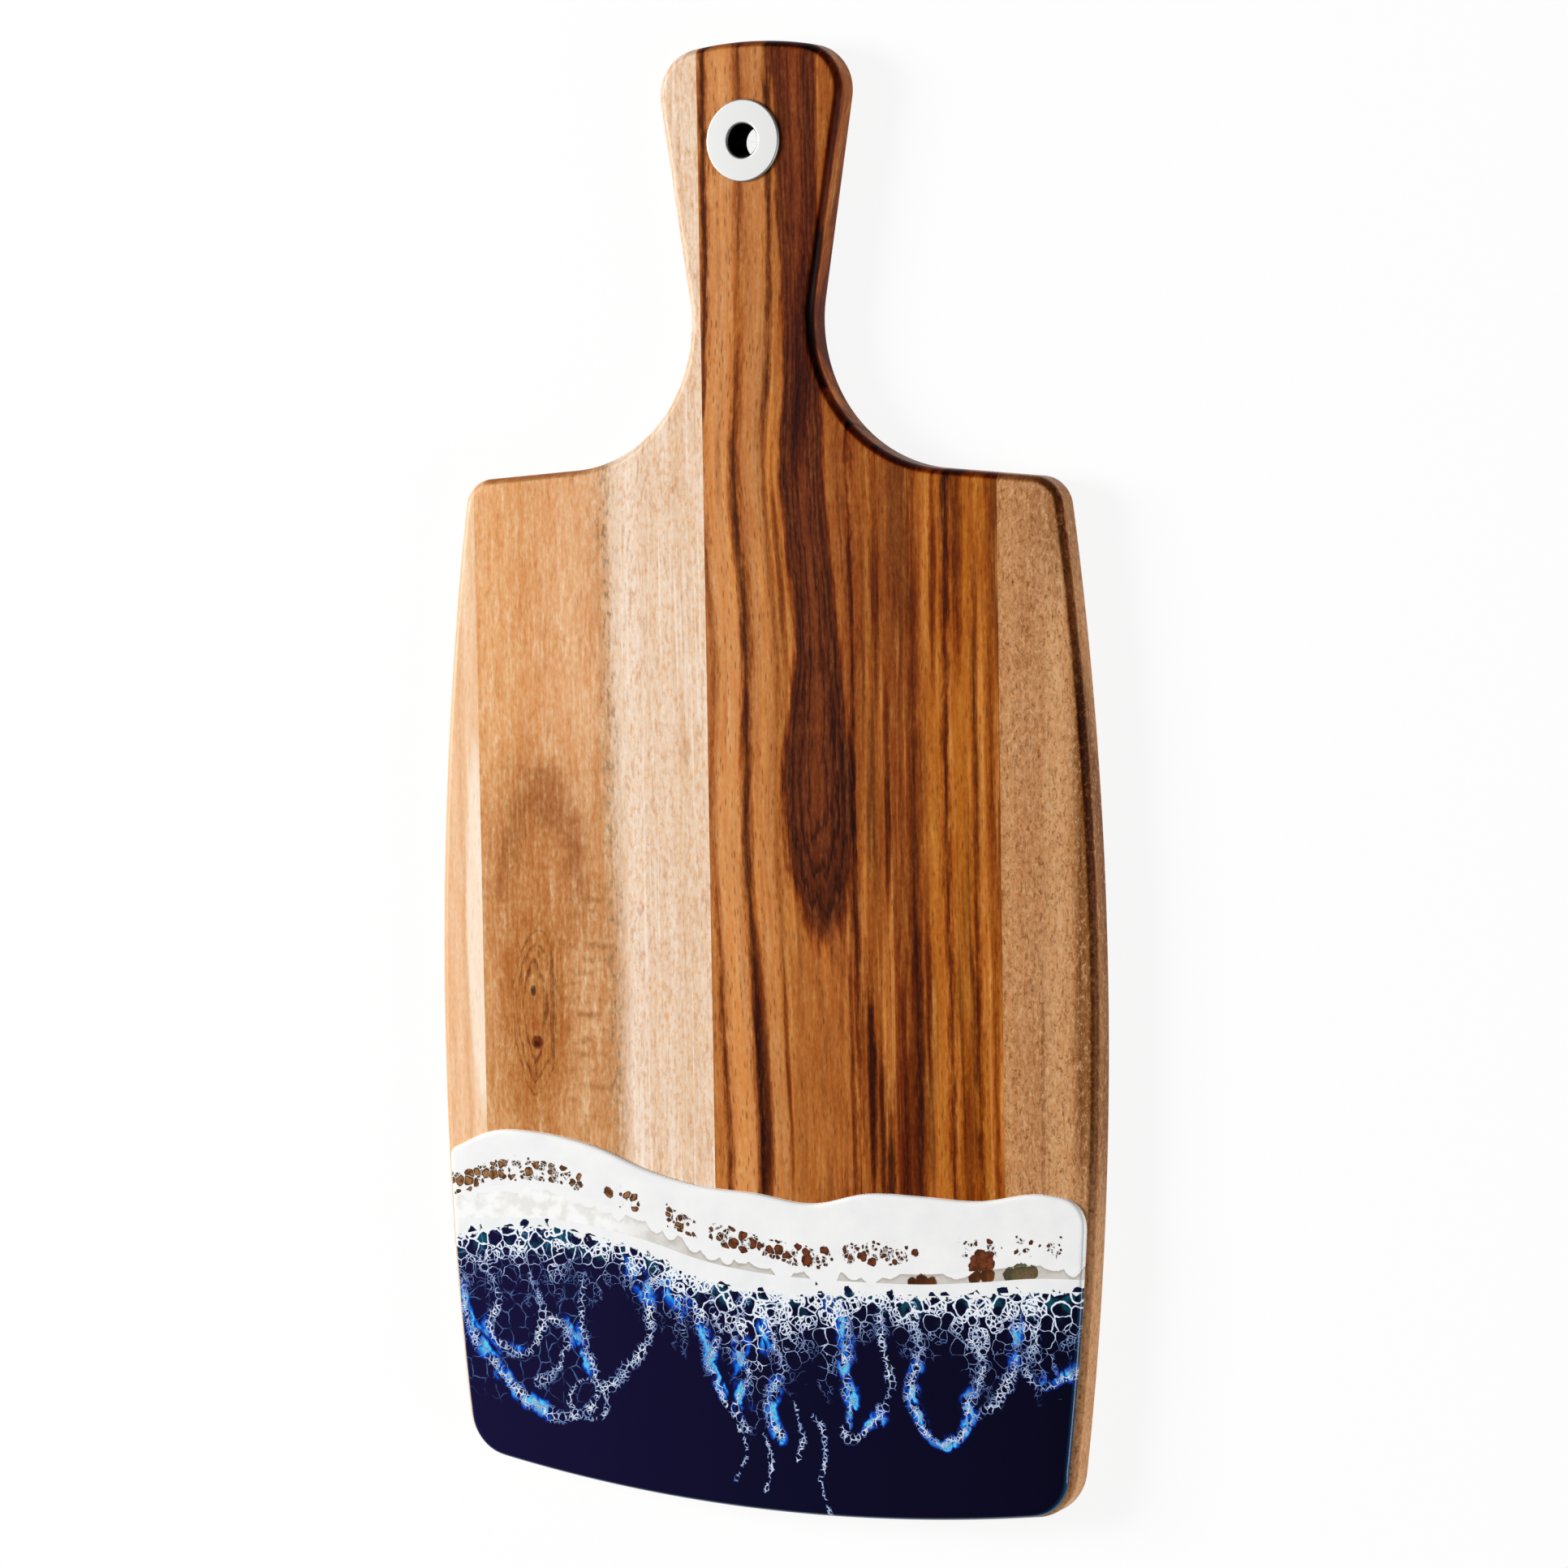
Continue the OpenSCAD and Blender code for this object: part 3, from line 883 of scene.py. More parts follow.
def acacia(name, stripes, stray, fray, bend=None):
    """Acacia with its stripes, as places across the stave in millimetres with their colours.

    stray and fray are how far a stripe's edge strays over a hand's width and over a few millimetres.
    bend is the way that the grain takes along the board, on the left of the stave more than on the right."""
    material, tree, shader = new_material(name)
    place = place_on_board(tree, Rotation=(0, 0, -math.radians(stave_skew)))
    x, y, z = add(tree, "SeparateXYZ", {"Vector": place}).outputs
    # Growth lines lean through the thickness, so that the walls show other stripes than the face
    lean = add(tree, "Math", {0: z, 1: grain_lean, 2: -grain_lean * board_t}, operation="MULTIPLY_ADD")
    across = add(tree, "Math", {0: x, 1: lean}, operation="ADD")
    if bend:
        way = along_board(tree, y, [(at, mm + most_bend) for at, mm in bend], 2 * most_bend)
        shift = add(tree, "Math", {0: most_bend, 1: way}, operation="SUBTRACT")
        calm = add(tree, "MapRange", {
            "Value": x, "From Min": 12, "From Max": 45, "To Min": 1, "To Max": 0.15})
        across = add(tree, "Math", {0: shift, 1: calm, 2: across}, operation="MULTIPLY_ADD")
    middle = roughen(tree, across, mottle(tree, place, (45, 170, 45), 1), stray)
    flow = add(tree, "CombineXYZ", {0: middle, 1: y, 2: z})
    edge = roughen(tree, middle, mottle(tree, flow, (1.6, 24, 1.6), 3, Roughness=0.65), fray)
    low, high = stripes[0][0], stripes[-1][0]
    stops = [((mm - low) / (high - low), code) for mm, code in stripes]
    colour = add(tree, "ValToRGB", {"Fac": where(tree, (edge, low, high))}, stops=stops)
    loose = add(tree, "CombineXYZ", {0: edge, 1: y, 2: z})
    return material, tree, shader, flow, loose, colour


def grain_tone(tree, flow, contrast, curl):
    """How light the fine grain is, about 1: fibres, a wider figure, and curly fleck."""
    fibre = mottle(tree, flow, (1.3, 16, 1.3), 3, Roughness=0.7)
    figure = mottle(tree, flow, (3.2, 42, 3.2))
    fleck = mottle(tree, flow, (1.0, 2.3, 1.0), 2, Distortion=0.3)
    tones = []
    for noise, swing in ((fibre, contrast), (figure, 0.6 * contrast), (fleck, curl)):
        swings = {"From Min": 0.3, "From Max": 0.7, "To Min": 1 - swing, "To Max": 1 + swing}
        tones.append(add(tree, "MapRange", {"Value": noise, **swings}))
    return where(tree, *tones)


def round_over_and_shade(tree, flow):
    """The round-over, and painted shade on its right and handle-end sides, fainter near the resin."""
    normal = add(tree, "NewGeometry").outputs["Normal"]
    # Painted shade: the round-over is darkened where it faces right and towards the handle
    right_and_up = (0.9, 0.45, 0)
    turned = add(tree, "VectorMath", {0: normal, 1: right_and_up}, operation="DOT_PRODUCT")
    facing = turned.outputs["Value"]
    up = add(tree, "SeparateXYZ", {"Vector": normal}).outputs[2]
    rounded = where(tree, (up, 0.985, 0.9), (up, 0.1, 0.45))
    y = add(tree, "SeparateXYZ", {"Vector": flow}).outputs[1]
    above = add(tree, "MapRange", {
        "Value": y, "From Min": end_y + 80, "From Max": end_y + 250, "To Min": 0.15, "To Max": 1})
    return rounded, where(tree, rounded, (facing, 0.1, 0.35), above)


def oil(tree, shader, flow, colour, contrast, curl, pore_dark):
    """The oiled face over a stave's colours, with its fine grain and pores.

    Fibres and pores are drawn two to three times as wide as real ones, so that they show."""
    dash = add(tree, "Mapping", {"Vector": flow, "Scale": (1 / 1.25, 1 / 6.5, 1 / 1.25)})
    pore = add(tree, "TexVoronoi", {"Vector": dash, "Scale": 1, "Randomness": 1})
    colour = tint(tree, colour, "#5e2c08", pore, 0.34, 0.12, pore_dark)
    tone = grain_tone(tree, flow, contrast, curl)
    rounded, painted_edge_shade = round_over_and_shade(tree, flow)
    # Where the grain is dark the oil deepens the colour, and so does the painted shade on the round-over;
    # neither greys it
    deepest = add(tree, "MapRange", {"Value": painted_edge_shade, "To Min": 2.0, "To Max": 2.7})
    deep = add(tree, "Math", {0: deepest, 1: tone}, operation="SUBTRACT")
    deepened = add(tree, "Gamma", {"Color": colour, "Gamma": deep})
    # The round-over is drawn browner, and darker still where its painted shade falls
    darker_round_over = where(tree, *[
        add(tree, "MapRange", {"Value": mask, "To Min": 1, "To Max": least})
        for mask, least in ((rounded, 0.72), (painted_edge_shade, 0.7))
    ])
    satin = add(tree, "MapRange", {
        "Value": tone, "From Min": 0.6, "From Max": 1.2, "To Min": 0.42, "To Max": 0.33})
    wire(tree, shader, {
        "Base Color": add(tree, "VectorMath", {0: deepened, "Scale": darker_round_over}, operation="SCALE"),
        "Roughness": satin,
        "Normal": add(tree, "Bump", {"Height": tone, "Strength": 0.15, "Distance": 0.0002}),
        "IOR": 1.47,
        "Specular IOR Level": 0.07,
    })


# Left edge stave: pale straight grain, with a whiter streak along the glue line

def pale_acacia():
    material, tree, shader, flow, loose, colour = acacia(
        "oiled acacia, pale straight grain",
        [(-131, "#d9a676"), (-126, "#e8b588"), (-121, "#f0c299"), (-118, "#e6b488"), (-115, "#f1c9a3"),
         (-110, "#ebbe93")],
        stray=2.5, fray=0.7,
    )
    colour = tint(tree, colour, "#f9e4cd", lens(tree, loose, (-111.5, 200), (6, 75)), 0.0, 0.5, 0.9)
    oil(tree, shader, flow, colour, contrast=0.15, curl=0.13, pore_dark=0.1)
    return material


# Left stave: tan heartwood round a knot, and pale sapwood up to the glue line

def smoke_over_knot(tree, colour, loose, drift):
    """Smoke that drifts above the knot, with darker arches in it."""
    smoke = roughen(tree, lens(tree, loose, (-88, 220), (26, 52)), drift, 0.6)
    colour = tint(tree, colour, "#b47038", smoke, -0.3, 1.0, 0.7)
    bow = roughen(tree, lens(tree, loose, (-86, 208), (19, 50)), drift, 0.5)
    y = add(tree, "SeparateXYZ", {"Vector": loose}).outputs[1]
    over = where(tree, (y, end_y + 195, end_y + 225))
    for at, dark in ((0.12, 0.25), (0.42, 0.4)):
        arch = where(tree, (apart(tree, bow, at), 0.34, 0.02), over)
        colour = tint(tree, colour, "#8a4e22", arch, 0, 1, dark)
    return colour


def knot(tree, colour, loose, drift):
    """The knot: a dusky field, crooked growth lines, and dark eyes as place, half size and colour."""
    dusk = roughen(tree, lens(tree, loose, (-90, 165), (19, 50)), drift, 0.3)
    colour = tint(tree, colour, "#b06b30", dusk, -0.1, 0.9, 0.85)
    eye = roughen(tree, lens(tree, loose, (-89, 172), (9, 31)), mottle(tree, loose, (5, 14, 5)), 0.3)
    lines = add(tree, "ValToRGB", {"Fac": eye}, stops=[
        (0, 0), (0.08, 0.9), (0.18, 0), (0.3, 0), (0.4, 0.8), (0.5, 0),
        (0.62, 0), (0.72, 1), (0.83, 0.2), (1, 0.35)])
    colour = tint(tree, colour, "#6d3712", where(tree, lines, drift), 0.1, 0.55, 0.75)
    for middle, half_size, code in (
        ((-89.6, 171), (1.0, 9), "#a55f2a"), ((-82.4, 174), (1.1, 25), "#8a5226"),
        ((-88.6, 160.5), (2.3, 2.8), "#6a2409"), ((-88.8, 160), (1.1, 1.4), "#3d1206"),
        ((-90, 179), (1.3, 2.4), "#33200f"), ((-87.8, 192), (0.8, 2.0), "#8a4a1c"),
        ((-89, 150), (1.0, 3.0), "#8f5526"),
    ):
        colour = tint(tree, colour, code, lens(tree, loose, middle, half_size), 0, 0.55, 0.9)
    return colour


def ripples(tree, colour, flow, loose, drift):
    """Ripples across the grain beside the knot, five millimetres apart and broken up."""
    y = add(tree, "SeparateXYZ", {"Vector": loose}).outputs[1]
    even = add(tree, "Math", {0: y, 1: ripple_turn}, operation="MULTIPLY")
    crooked = mottle(tree, loose, (18, 14, 18))
    sway = add(tree, "Math", {0: crooked, 1: 9.0, 2: even}, operation="MULTIPLY_ADD")
    swing = add(tree, "Math", {0: sway}, operation="SINE")
    ripple = add(tree, "Math", {0: swing, 1: 0.5, 2: 0.5}, operation="MULTIPLY_ADD")
    beside = roughen(tree, lens(tree, loose, (-69, 180), (15, 72)), drift, 0.5)
    broken = where(tree, ripple, (beside, 0, 0.9), (mottle(tree, flow, (5, 4, 5)), 0.35, 0.65))
    return tint(tree, colour, "#9c6532", broken, 0, 1, 0.65)


def sapwood(tree, colour, flow, x, sap):
    """Grey-green flecks where the heart meets the sapwood, then its orange fleck and pale lines."""
    border = apart(tree, x, -57.5)
    speck = where(tree, (mottle(tree, flow, (1.2, 3.0, 1.2), 3), 0.5, 0.66), (border, 6.5, 0.5))
    colour = tint(tree, colour, "#8d7656", speck, 0, 1, 0.7)
    glint = where(tree, (mottle(tree, flow, (1.3, 2.6, 1.3), 3, Roughness=0.65), 0.48, 0.66), sap)
    colour = tint(tree, colour, "#dda673", glint, 0, 1, 0.6)
    pale_line = where(tree, (mottle(tree, flow, (1.4, 90, 1.4)), 0.55, 0.68), sap)
    return tint(tree, colour, "#fbecdc", pale_line, 0, 1, 0.5)


def tan_acacia():
    material, tree, shader, flow, loose, colour = acacia(
        "oiled acacia, tan heart and pale sapwood",
        [(-114, "#e2a76f"), (-106, "#e4a973"), (-99, "#dfa36b"), (-92, "#db9d66"), (-84, "#dca06c"),
         (-77, "#dfa573"), (-70, "#e2ac7c"), (-64, "#dca272"), (-60, "#d59f70"), (-57, "#d8ae88"),
         (-54, "#eacdb1"), (-47, "#f3dbc5"), (-41, "#e8c9ac"), (-34, "#eed3ba"), (-28, "#e5c4a5"),
         (-22, "#ebcdb1"), (-16, "#f0d4bb")],
        stray=2.0, fray=1.5,
    )
    x, y, _ = add(tree, "SeparateXYZ", {"Vector": loose}).outputs
    drift = mottle(tree, loose, (11, 7, 11), 3, Distortion=0.4)
    sap = where(tree, (x, -56, -50))
    # The heartwood darkens towards the resin
    lower = where(tree, (roughen(tree, y, drift, 30), end_y + 305, end_y + 190), (sap, 1, 0))
    colour = tint(tree, colour, "#b87c44", lower, 0, 1, 0.5)
    # Wavy fleck, longer than it is wide
    curl = mottle(tree, flow, (2.0, 8, 2.0), 3, Distortion=1.0)
    colour = tint(tree, colour, "#f0c595", curl, 0.52, 0.72, 0.4)
    colour = tint(tree, colour, "#b9783c", curl, 0.48, 0.28, 0.4)
    colour = smoke_over_knot(tree, colour, loose, drift)
    colour = knot(tree, colour, loose, drift)
    colour = ripples(tree, colour, flow, loose, drift)
    colour = sapwood(tree, colour, flow, x, sap)
    oil(tree, shader, flow, colour, contrast=0.2, curl=0.18, pore_dark=0.12)
    return material


# Heart stave: golden striped heartwood, with one dark figure that closes in an oval

def growth_lines(tree, colour, flow, loose):
    """Broad bands of light and dark, thin dark growth lines in bundles, and a golden patch at the left."""
    bands = mottle(tree, flow, (6, 150, 6), 3, Roughness=0.6)
    x = add(tree, "SeparateXYZ", {"Vector": loose}).outputs[0]
    lined = add(tree, "MapRange", {"Value": x, "From Min": 4, "From Max": 30, "To Min": 0.4, "To Max": 1})
    colour = tint(tree, colour, "#6b3510", bands, 0.46, 0.3, where(tree, lined, 0.75))
    colour = tint(tree, colour, "#da8c40", bands, 0.5, 0.7, 0.75)
    bundled = roughen(tree, mottle(tree, flow, (1.7, 60, 1.7)), mottle(tree, flow, (10, 120, 10), 1), 0.3)
    colour = tint(tree, colour, "#4d210a", bundled, 0.54, 0.8, where(tree, lined, 0.6))
    colour = tint(tree, colour, "#da9048", bundled, 0.42, 0.18, 0.6)
    gold = roughen(tree, lens(tree, loose, (-9, 235), (7, 55)), bands, 0.6)
    return tint(tree, colour, "#dd985a", gold, 0, 1, 0.55)


def dark_figure(tree, colour, flow, loose):
    """The dark figure: its middle and half width change along the board, and it ends in a round tip.

    Below the tip the wood is an even red-brown."""
    x, y, z = add(tree, "SeparateXYZ", {"Vector": loose}).outputs
    middle = along_board(tree, y, [
        (0, 26), (200, 26.5), (250, 25), (300, 24.5), (345, 23.5), (400, 22), (440, 20.5), (508, 18)], 40)
    half_width = along_board(tree, y, [
        (0, 13.5), (255, 13.5), (280, 11.5), (300, 8.5), (345, 7.5), (400, 7), (440, 7.5), (508, 9)], 16)
    off = add(tree, "Math", {0: x, 1: middle}, operation="SUBTRACT")
    aside = add(tree, "Math", {0: off, 1: half_width}, operation="DIVIDE")
    past_tip = add(tree, "CombineXYZ", {0: aside, 1: where(tree, (y, end_y + 248, end_y + 199))})
    away = add(tree, "VectorMath", {0: past_tip}, operation="LENGTH").outputs["Value"]
    level = roughen(tree, away, mottle(tree, flow, (3, 22, 3), 3, Roughness=0.65), 0.32)
    core = add(tree, "ValToRGB", {"Fac": level}, stops=[
        (0.05, "#743716"), (0.2, "#602a10"), (0.26, "#2e1004"), (0.33, "#6a3014"), (0.45, "#4a1d0a"),
        (0.51, "#260b02"), (0.58, "#5f2a10"), (0.7, "#3f1807"), (0.76, "#280c03"), (0.84, "#5d2a0f"),
        (0.92, "#381405"), (1, "#602c10")])
    within = add(tree, "MapRange", {"Value": level, "From Min": 1.14, "From Max": 0.84, "To Max": 0.96},
                 interpolation_type="SMOOTHSTEP")
    near_face = add(tree, "MapRange", {
        "Value": z, "From Min": board_t - 3, "From Max": board_t - 0.8, "To Min": 0.3, "To Max": 1})
    fading = along_board(tree, y, [(0, 1), (380, 1), (430, 0.85), (508, 0.8)], 1)
    within = where(tree, within, fading, near_face)
    deep = add(tree, "Math", {0: within, 1: 0.9, 2: 1.0}, operation="MULTIPLY_ADD")
    ripe = add(tree, "Gamma", {"Color": colour, "Gamma": deep})
    colour = add(tree, "Mix", {0: within, 6: ripe, 7: core}, data_type="RGBA").outputs[2]
    below = roughen(tree, lens(tree, loose, (25, 150), (15, 62)), mottle(tree, flow, (4, 14, 4)), 0.7)
    return tint(tree, colour, "#ae652b", below, 0.0, 0.8, 0.75)


def dark_streaks(tree, colour, flow, loose):
    """Streaks the length of the stave, made of dashes, and shorter dark spindles."""
    x, y, _ = add(tree, "SeparateXYZ", {"Vector": loose}).outputs
    ragged = mottle(tree, flow, (1.5, 10, 1.5), 3, Roughness=0.7)
    # Streaks: place across, half width, how dark, then heights and how much stays
    for at, half_width, dark, stays in (
        (-3.0, 3.0, 0.95, [(0, 0.9), (340, 1), (385, 0.8), (425, 0.45), (508, 0.6)]),
        (-16.4, 2.0, 0.9, [(0, 0.8), (170, 0.9), (230, 0.3), (330, 0.4), (420, 1), (508, 1)]),
        (62.4, 3.2, 0.75, [(0, 0.7), (110, 1), (225, 1), (300, 0.6), (508, 0.4)]),
        (56.5, 2.4, 0.5, [(0, 0.9), (190, 0.9), (260, 0.4), (330, 0.1), (508, 0)]),
        (74.6, 2.0, 0.75, [(0, 0.8), (250, 1), (508, 0.9)]),
        (84.4, 1.9, 0.7, [(0, 1), (230, 0.9), (330, 0.4), (508, 0.3)]),
        (90.5, 1.7, 0.4, [(0, 1), (508, 0.7)]),
        (38.6, 1.3, 0.7, [(0, 0.5), (200, 0.9), (370, 1), (508, 0.8)]),
        (8.8, 1.7, 0.75, [(0, 0.25), (300, 0.3), (370, 0.6), (400, 0.9), (508, 1)]),
    ):
        beside = roughen(tree, apart(tree, x, at), ragged, 2.2)
        dense = where(tree, (beside, 1.15 * half_width, 0), along_board(tree, y, stays, 1), dark)
        colour = soak(tree, colour, "#1f0903", dense)
    # Spindles: place, half width and half length, then how dark
    for at, half_size, dark in (
        ((44, 152), (2.1, 44), 0.95), ((48, 140), (1.2, 36), 0.7), ((51, 120), (1.7, 30), 0.85),
        ((36, 140), (1.4, 60), 0.55), ((57, 130), (4.0, 60), 0.35), ((80, 130), (3.2, 52), 0.5),
        ((-1, 145), (3.2, 60), 0.75), ((70, 330), (1.6, 50), 0.6), ((79, 340), (2.4, 60), 0.6),
        ((48, 335), (1.6, 60), 0.5), ((52, 250), (1.8, 46), 0.6), ((66.5, 190), (1.4, 45), 0.5),
        ((12, 330), (1.6, 50), 0.5), ((9, 150), (1.2, 50), 0.4), ((22, 398), (3.4, 46), 0.6),
    ):
        spindle = roughen(tree, lens(tree, loose, at, half_size), ragged, 0.6)
        colour = soak(tree, colour, "#240b03", where(tree, (spindle, -0.1, 0.9), dark))
    return colour


def heart_acacia():
    material, tree, shader, flow, loose, colour = acacia(
        "oiled acacia, dark striped heartwood",
        [(-20, "#b46c31"), (-15, "#c9834a"), (-10, "#d69156"), (-5, "#cb854c"), (0, "#b9743e"),
         (5, "#c27e46"), (9, "#b37036"), (14, "#aa632a"), (20, "#b1682d"), (27, "#a95f26"),
         (34, "#9c5420"), (40, "#914a18"), (46, "#975018"), (52, "#8f4817"), (57, "#894416"),
         (61, "#8f4b18"), (65, "#a95f22"), (70, "#b56820"), (75, "#a85b19"), (80, "#b2661c"),
         (86, "#ae621b"), (91, "#a35919"), (95, "#9a5219")],
        stray=1.6, fray=1.1,
        bend=[(0, 2), (120, 5), (137, 4.5), (165, 3), (200, 2.2), (241, -1.5), (288, 1), (315, 0.5),
              (347, -2.5), (370, -3), (390, -0.5), (434, 1.2), (500, 1.2)],
    )
    colour = growth_lines(tree, colour, flow, loose)
    colour = dark_figure(tree, colour, flow, loose)
    colour = dark_streaks(tree, colour, flow, loose)
    oil(tree, shader, flow, colour, contrast=0.13, curl=0.1, pore_dark=0.5)
    return material


# Right stave: tan with strong curly fleck, a paler strip, and a dark streak along the side

def curly_acacia():
    material, tree, shader, flow, loose, colour = acacia(
        "oiled acacia, tan with curly fleck",
        [(92, "#bb8150"), (97, "#c58c5b"), (102, "#bb8355"), (107, "#b98154"), (111, "#c69263"),
         (115, "#cf9b6b"), (118.5, "#c68f5e"), (120.6, "#ab774a"), (122.5, "#7a4a24"), (124.5, "#8c5a30"),
         (127, "#a5703f"), (131, "#a87342")],
        stray=1.8, fray=0.9,
    )
    x, y, _ = add(tree, "SeparateXYZ", {"Vector": loose}).outputs
    colour = tint(tree, colour, "#7a4a26", lens(tree, loose, (108.5, 150), (0.9, 60)), 0, 0.7, 0.5)
    low = where(tree, (y, end_y + 150, end_y + 95), (x, 116, 121))
    colour = tint(tree, colour, "#cf9b6b", low, 0, 1, 0.85)
    high = where(tree, (y, end_y + 305, end_y + 345), (x, 102, 114))
    colour = tint(tree, colour, "#8f5a30", high, 0, 1, 0.7)
    bright = mottle(tree, flow, (1.1, 2.1, 1.1), 3, Roughness=0.65, Distortion=1.0)
    colour = tint(tree, colour, "#e0aa78", bright, 0.5, 0.7, 0.65)
    colour = tint(tree, colour, "#7d4a1f", bright, 0.5, 0.3, 0.75)
    oil(tree, shader, flow, colour, contrast=0.1, curl=0.12, pore_dark=0.3)
    return material


# Eyelet: aluminium, blasted and satin, so it shows a soft even brightness and no mirror

def satin_aluminium():
    material, tree, shader = new_material("aluminium, satin blasted")
    spot = add(tree, "TexCoord").outputs["Object"]
    # Painted shade: the barrel's inside is drawn near black, greying up through its rounded mouth
    axis = (hang_x / 1000, hang_y / 1000, 0)
    off = add(tree, "VectorMath", {0: spot, 1: axis}, operation="SUBTRACT")
    level = add(tree, "VectorMath", {0: off, 1: (1000, 1000, 0)}, operation="MULTIPLY")
    radius = add(tree, "VectorMath", {0: level}, operation="LENGTH").outputs["Value"]
    grit = add(tree, "TexNoise", {"Vector": spot, "Scale": 4000, "Detail": 2})
    wire(tree, shader, {
        "Base Color": add(tree, "ValToRGB", {"Fac": where(tree, (radius, bore_r, bore_r + 1))},
                          stops=[(0.15, "#120f0d"), (0.5, "#8d8c8b"), (0.85, "#bbbbba")]),
        "Metallic": 1.0,
        "Roughness": add(tree, "MapRange", {"Value": grit, "To Min": 0.5, "To Max": 0.66}),
        "Specular Tint": (0.35, 0.35, 0.35, 1),
        "Normal": add(tree, "Bump", {"Height": grit, "Strength": 0.08, "Distance": 0.0001}),
    })
    return material


# Resin: epoxy, poured and self-levelled, so its face is glossy and its colours lie under a clear skin

def epoxy(name):
    """A glossy epoxy, and a spot's place on it in millimetres."""
    material, tree, shader = new_material(name)
    wire(tree, shader, {"Roughness": 0.1, "IOR": 1.5, "Specular IOR Level": 0.3})
    return material, tree, shader, place_on_board(tree)


def level_of(tree, name, noise=None, amount=0.0):
    """A number laid on the film, made uneven by a noise."""
    number = add(tree, "Attribute", attribute_name=name).outputs["Fac"]
    return number if noise is None else roughen(tree, number, noise, amount)


def cells(tree, place, size, corner_at=0.62):
    """Round cells of a size: the distance in millimetres to the nearest wall, and each cell's own number."""
    noise = mottle(tree, place, 0.9 * size).outputs["Color"]
    bend = add(tree, "VectorMath", {0: noise, "Scale": 0.6 * size}, operation="SCALE")
    bent = add(tree, "VectorMath", {0: place, 1: bend}, operation="ADD")
    small = add(tree, "VectorMath", {0: bent, "Scale": 1 / size}, operation="SCALE")
    wall = {"Vector": small, "Scale": 1}
    edge = add(tree, "TexVoronoi", wall, voronoi_dimensions="2D", feature="DISTANCE_TO_EDGE")
    heart = add(tree, "TexVoronoi", wall, voronoi_dimensions="2D")
    corner = add(tree, "Math", {0: corner_at, 1: heart}, operation="SUBTRACT")
    nearest = add(tree, "Math", {0: edge, 1: corner}, operation="MINIMUM")
    distance = add(tree, "Math", {0: nearest, 1: size}, operation="MULTIPLY")
    return distance, add(tree, "SeparateColor", {0: heart.outputs["Color"]})


def froth(tree, place, sizes, split, corner_at=0.62):
    """Cells of several sizes. A share of the first cells is split into the next size, and so on."""
    far = 9.0
    wall, own = cells(tree, place, sizes[0], corner_at)
    for size in sizes[1:]:
        finer, each = cells(tree, place, size, corner_at)
        whole = add(tree, "Math", {0: own, 1: split}, operation="GREATER_THAN")
        shown = add(tree, "Math", {0: whole, 1: far, 2: finer}, operation="MULTIPLY_ADD")
        wall = add(tree, "Math", {0: wall, 1: shown}, operation="MINIMUM")
        own = add(tree, "Math", {0: own, 1: each}, operation="MAXIMUM")
    return wall


def bubbles_at_foam(tree, place):
    """The froth on both sides of the foam's line: large bubbles at the left, more small ones elsewhere."""
    x = add(tree, "SeparateXYZ", {"Vector": place}).outputs[0]
    split = add(tree, "MapRange", {
        "Value": x, "From Min": -85, "From Max": -40, "To Min": 0.4, "To Max": 0.62})
    return froth(tree, place, (5.4, 3.4, 2.2), roughen(tree, split, mottle(tree, place, 9), 0.5))


# Navy: white drawn back into cells below the foam, then strands of lacing with blue beside them

def blue_glow(tree, colour, place):
    """Streaky blue beside the lacing, brightest in the middle of its runs."""
    streaky = mottle(tree, place, (3.4, 6, 3.4), 3, Distortion=0.8)
    streaks = add(tree, "MapRange", {"Value": streaky, "From Min": 0.39, "From Max": 0.6, "To Max": 1.2})
    by_run = add(tree, "Math", {0: level_of(tree, "run_band"), 1: 0.55}, operation="ADD")
    beside = add(tree, "Math", {0: by_run, 1: level_of(tree, "fringe")}, operation="MAXIMUM")
    blue = where(tree, level_of(tree, "blue"), (beside, 0, 0.6), streaks)
    glow = add(tree, "ValToRGB", {"Fac": blue}, stops=[
        (0.0, "#0a0930"), (0.2, "#0a2278"), (0.42, "#0d4cc2"), (0.64, "#1c88e2"), (0.86, "#5cc8f0")])
    return tint(tree, colour, glow, blue, 0.02, 0.3, way="LINEAR")


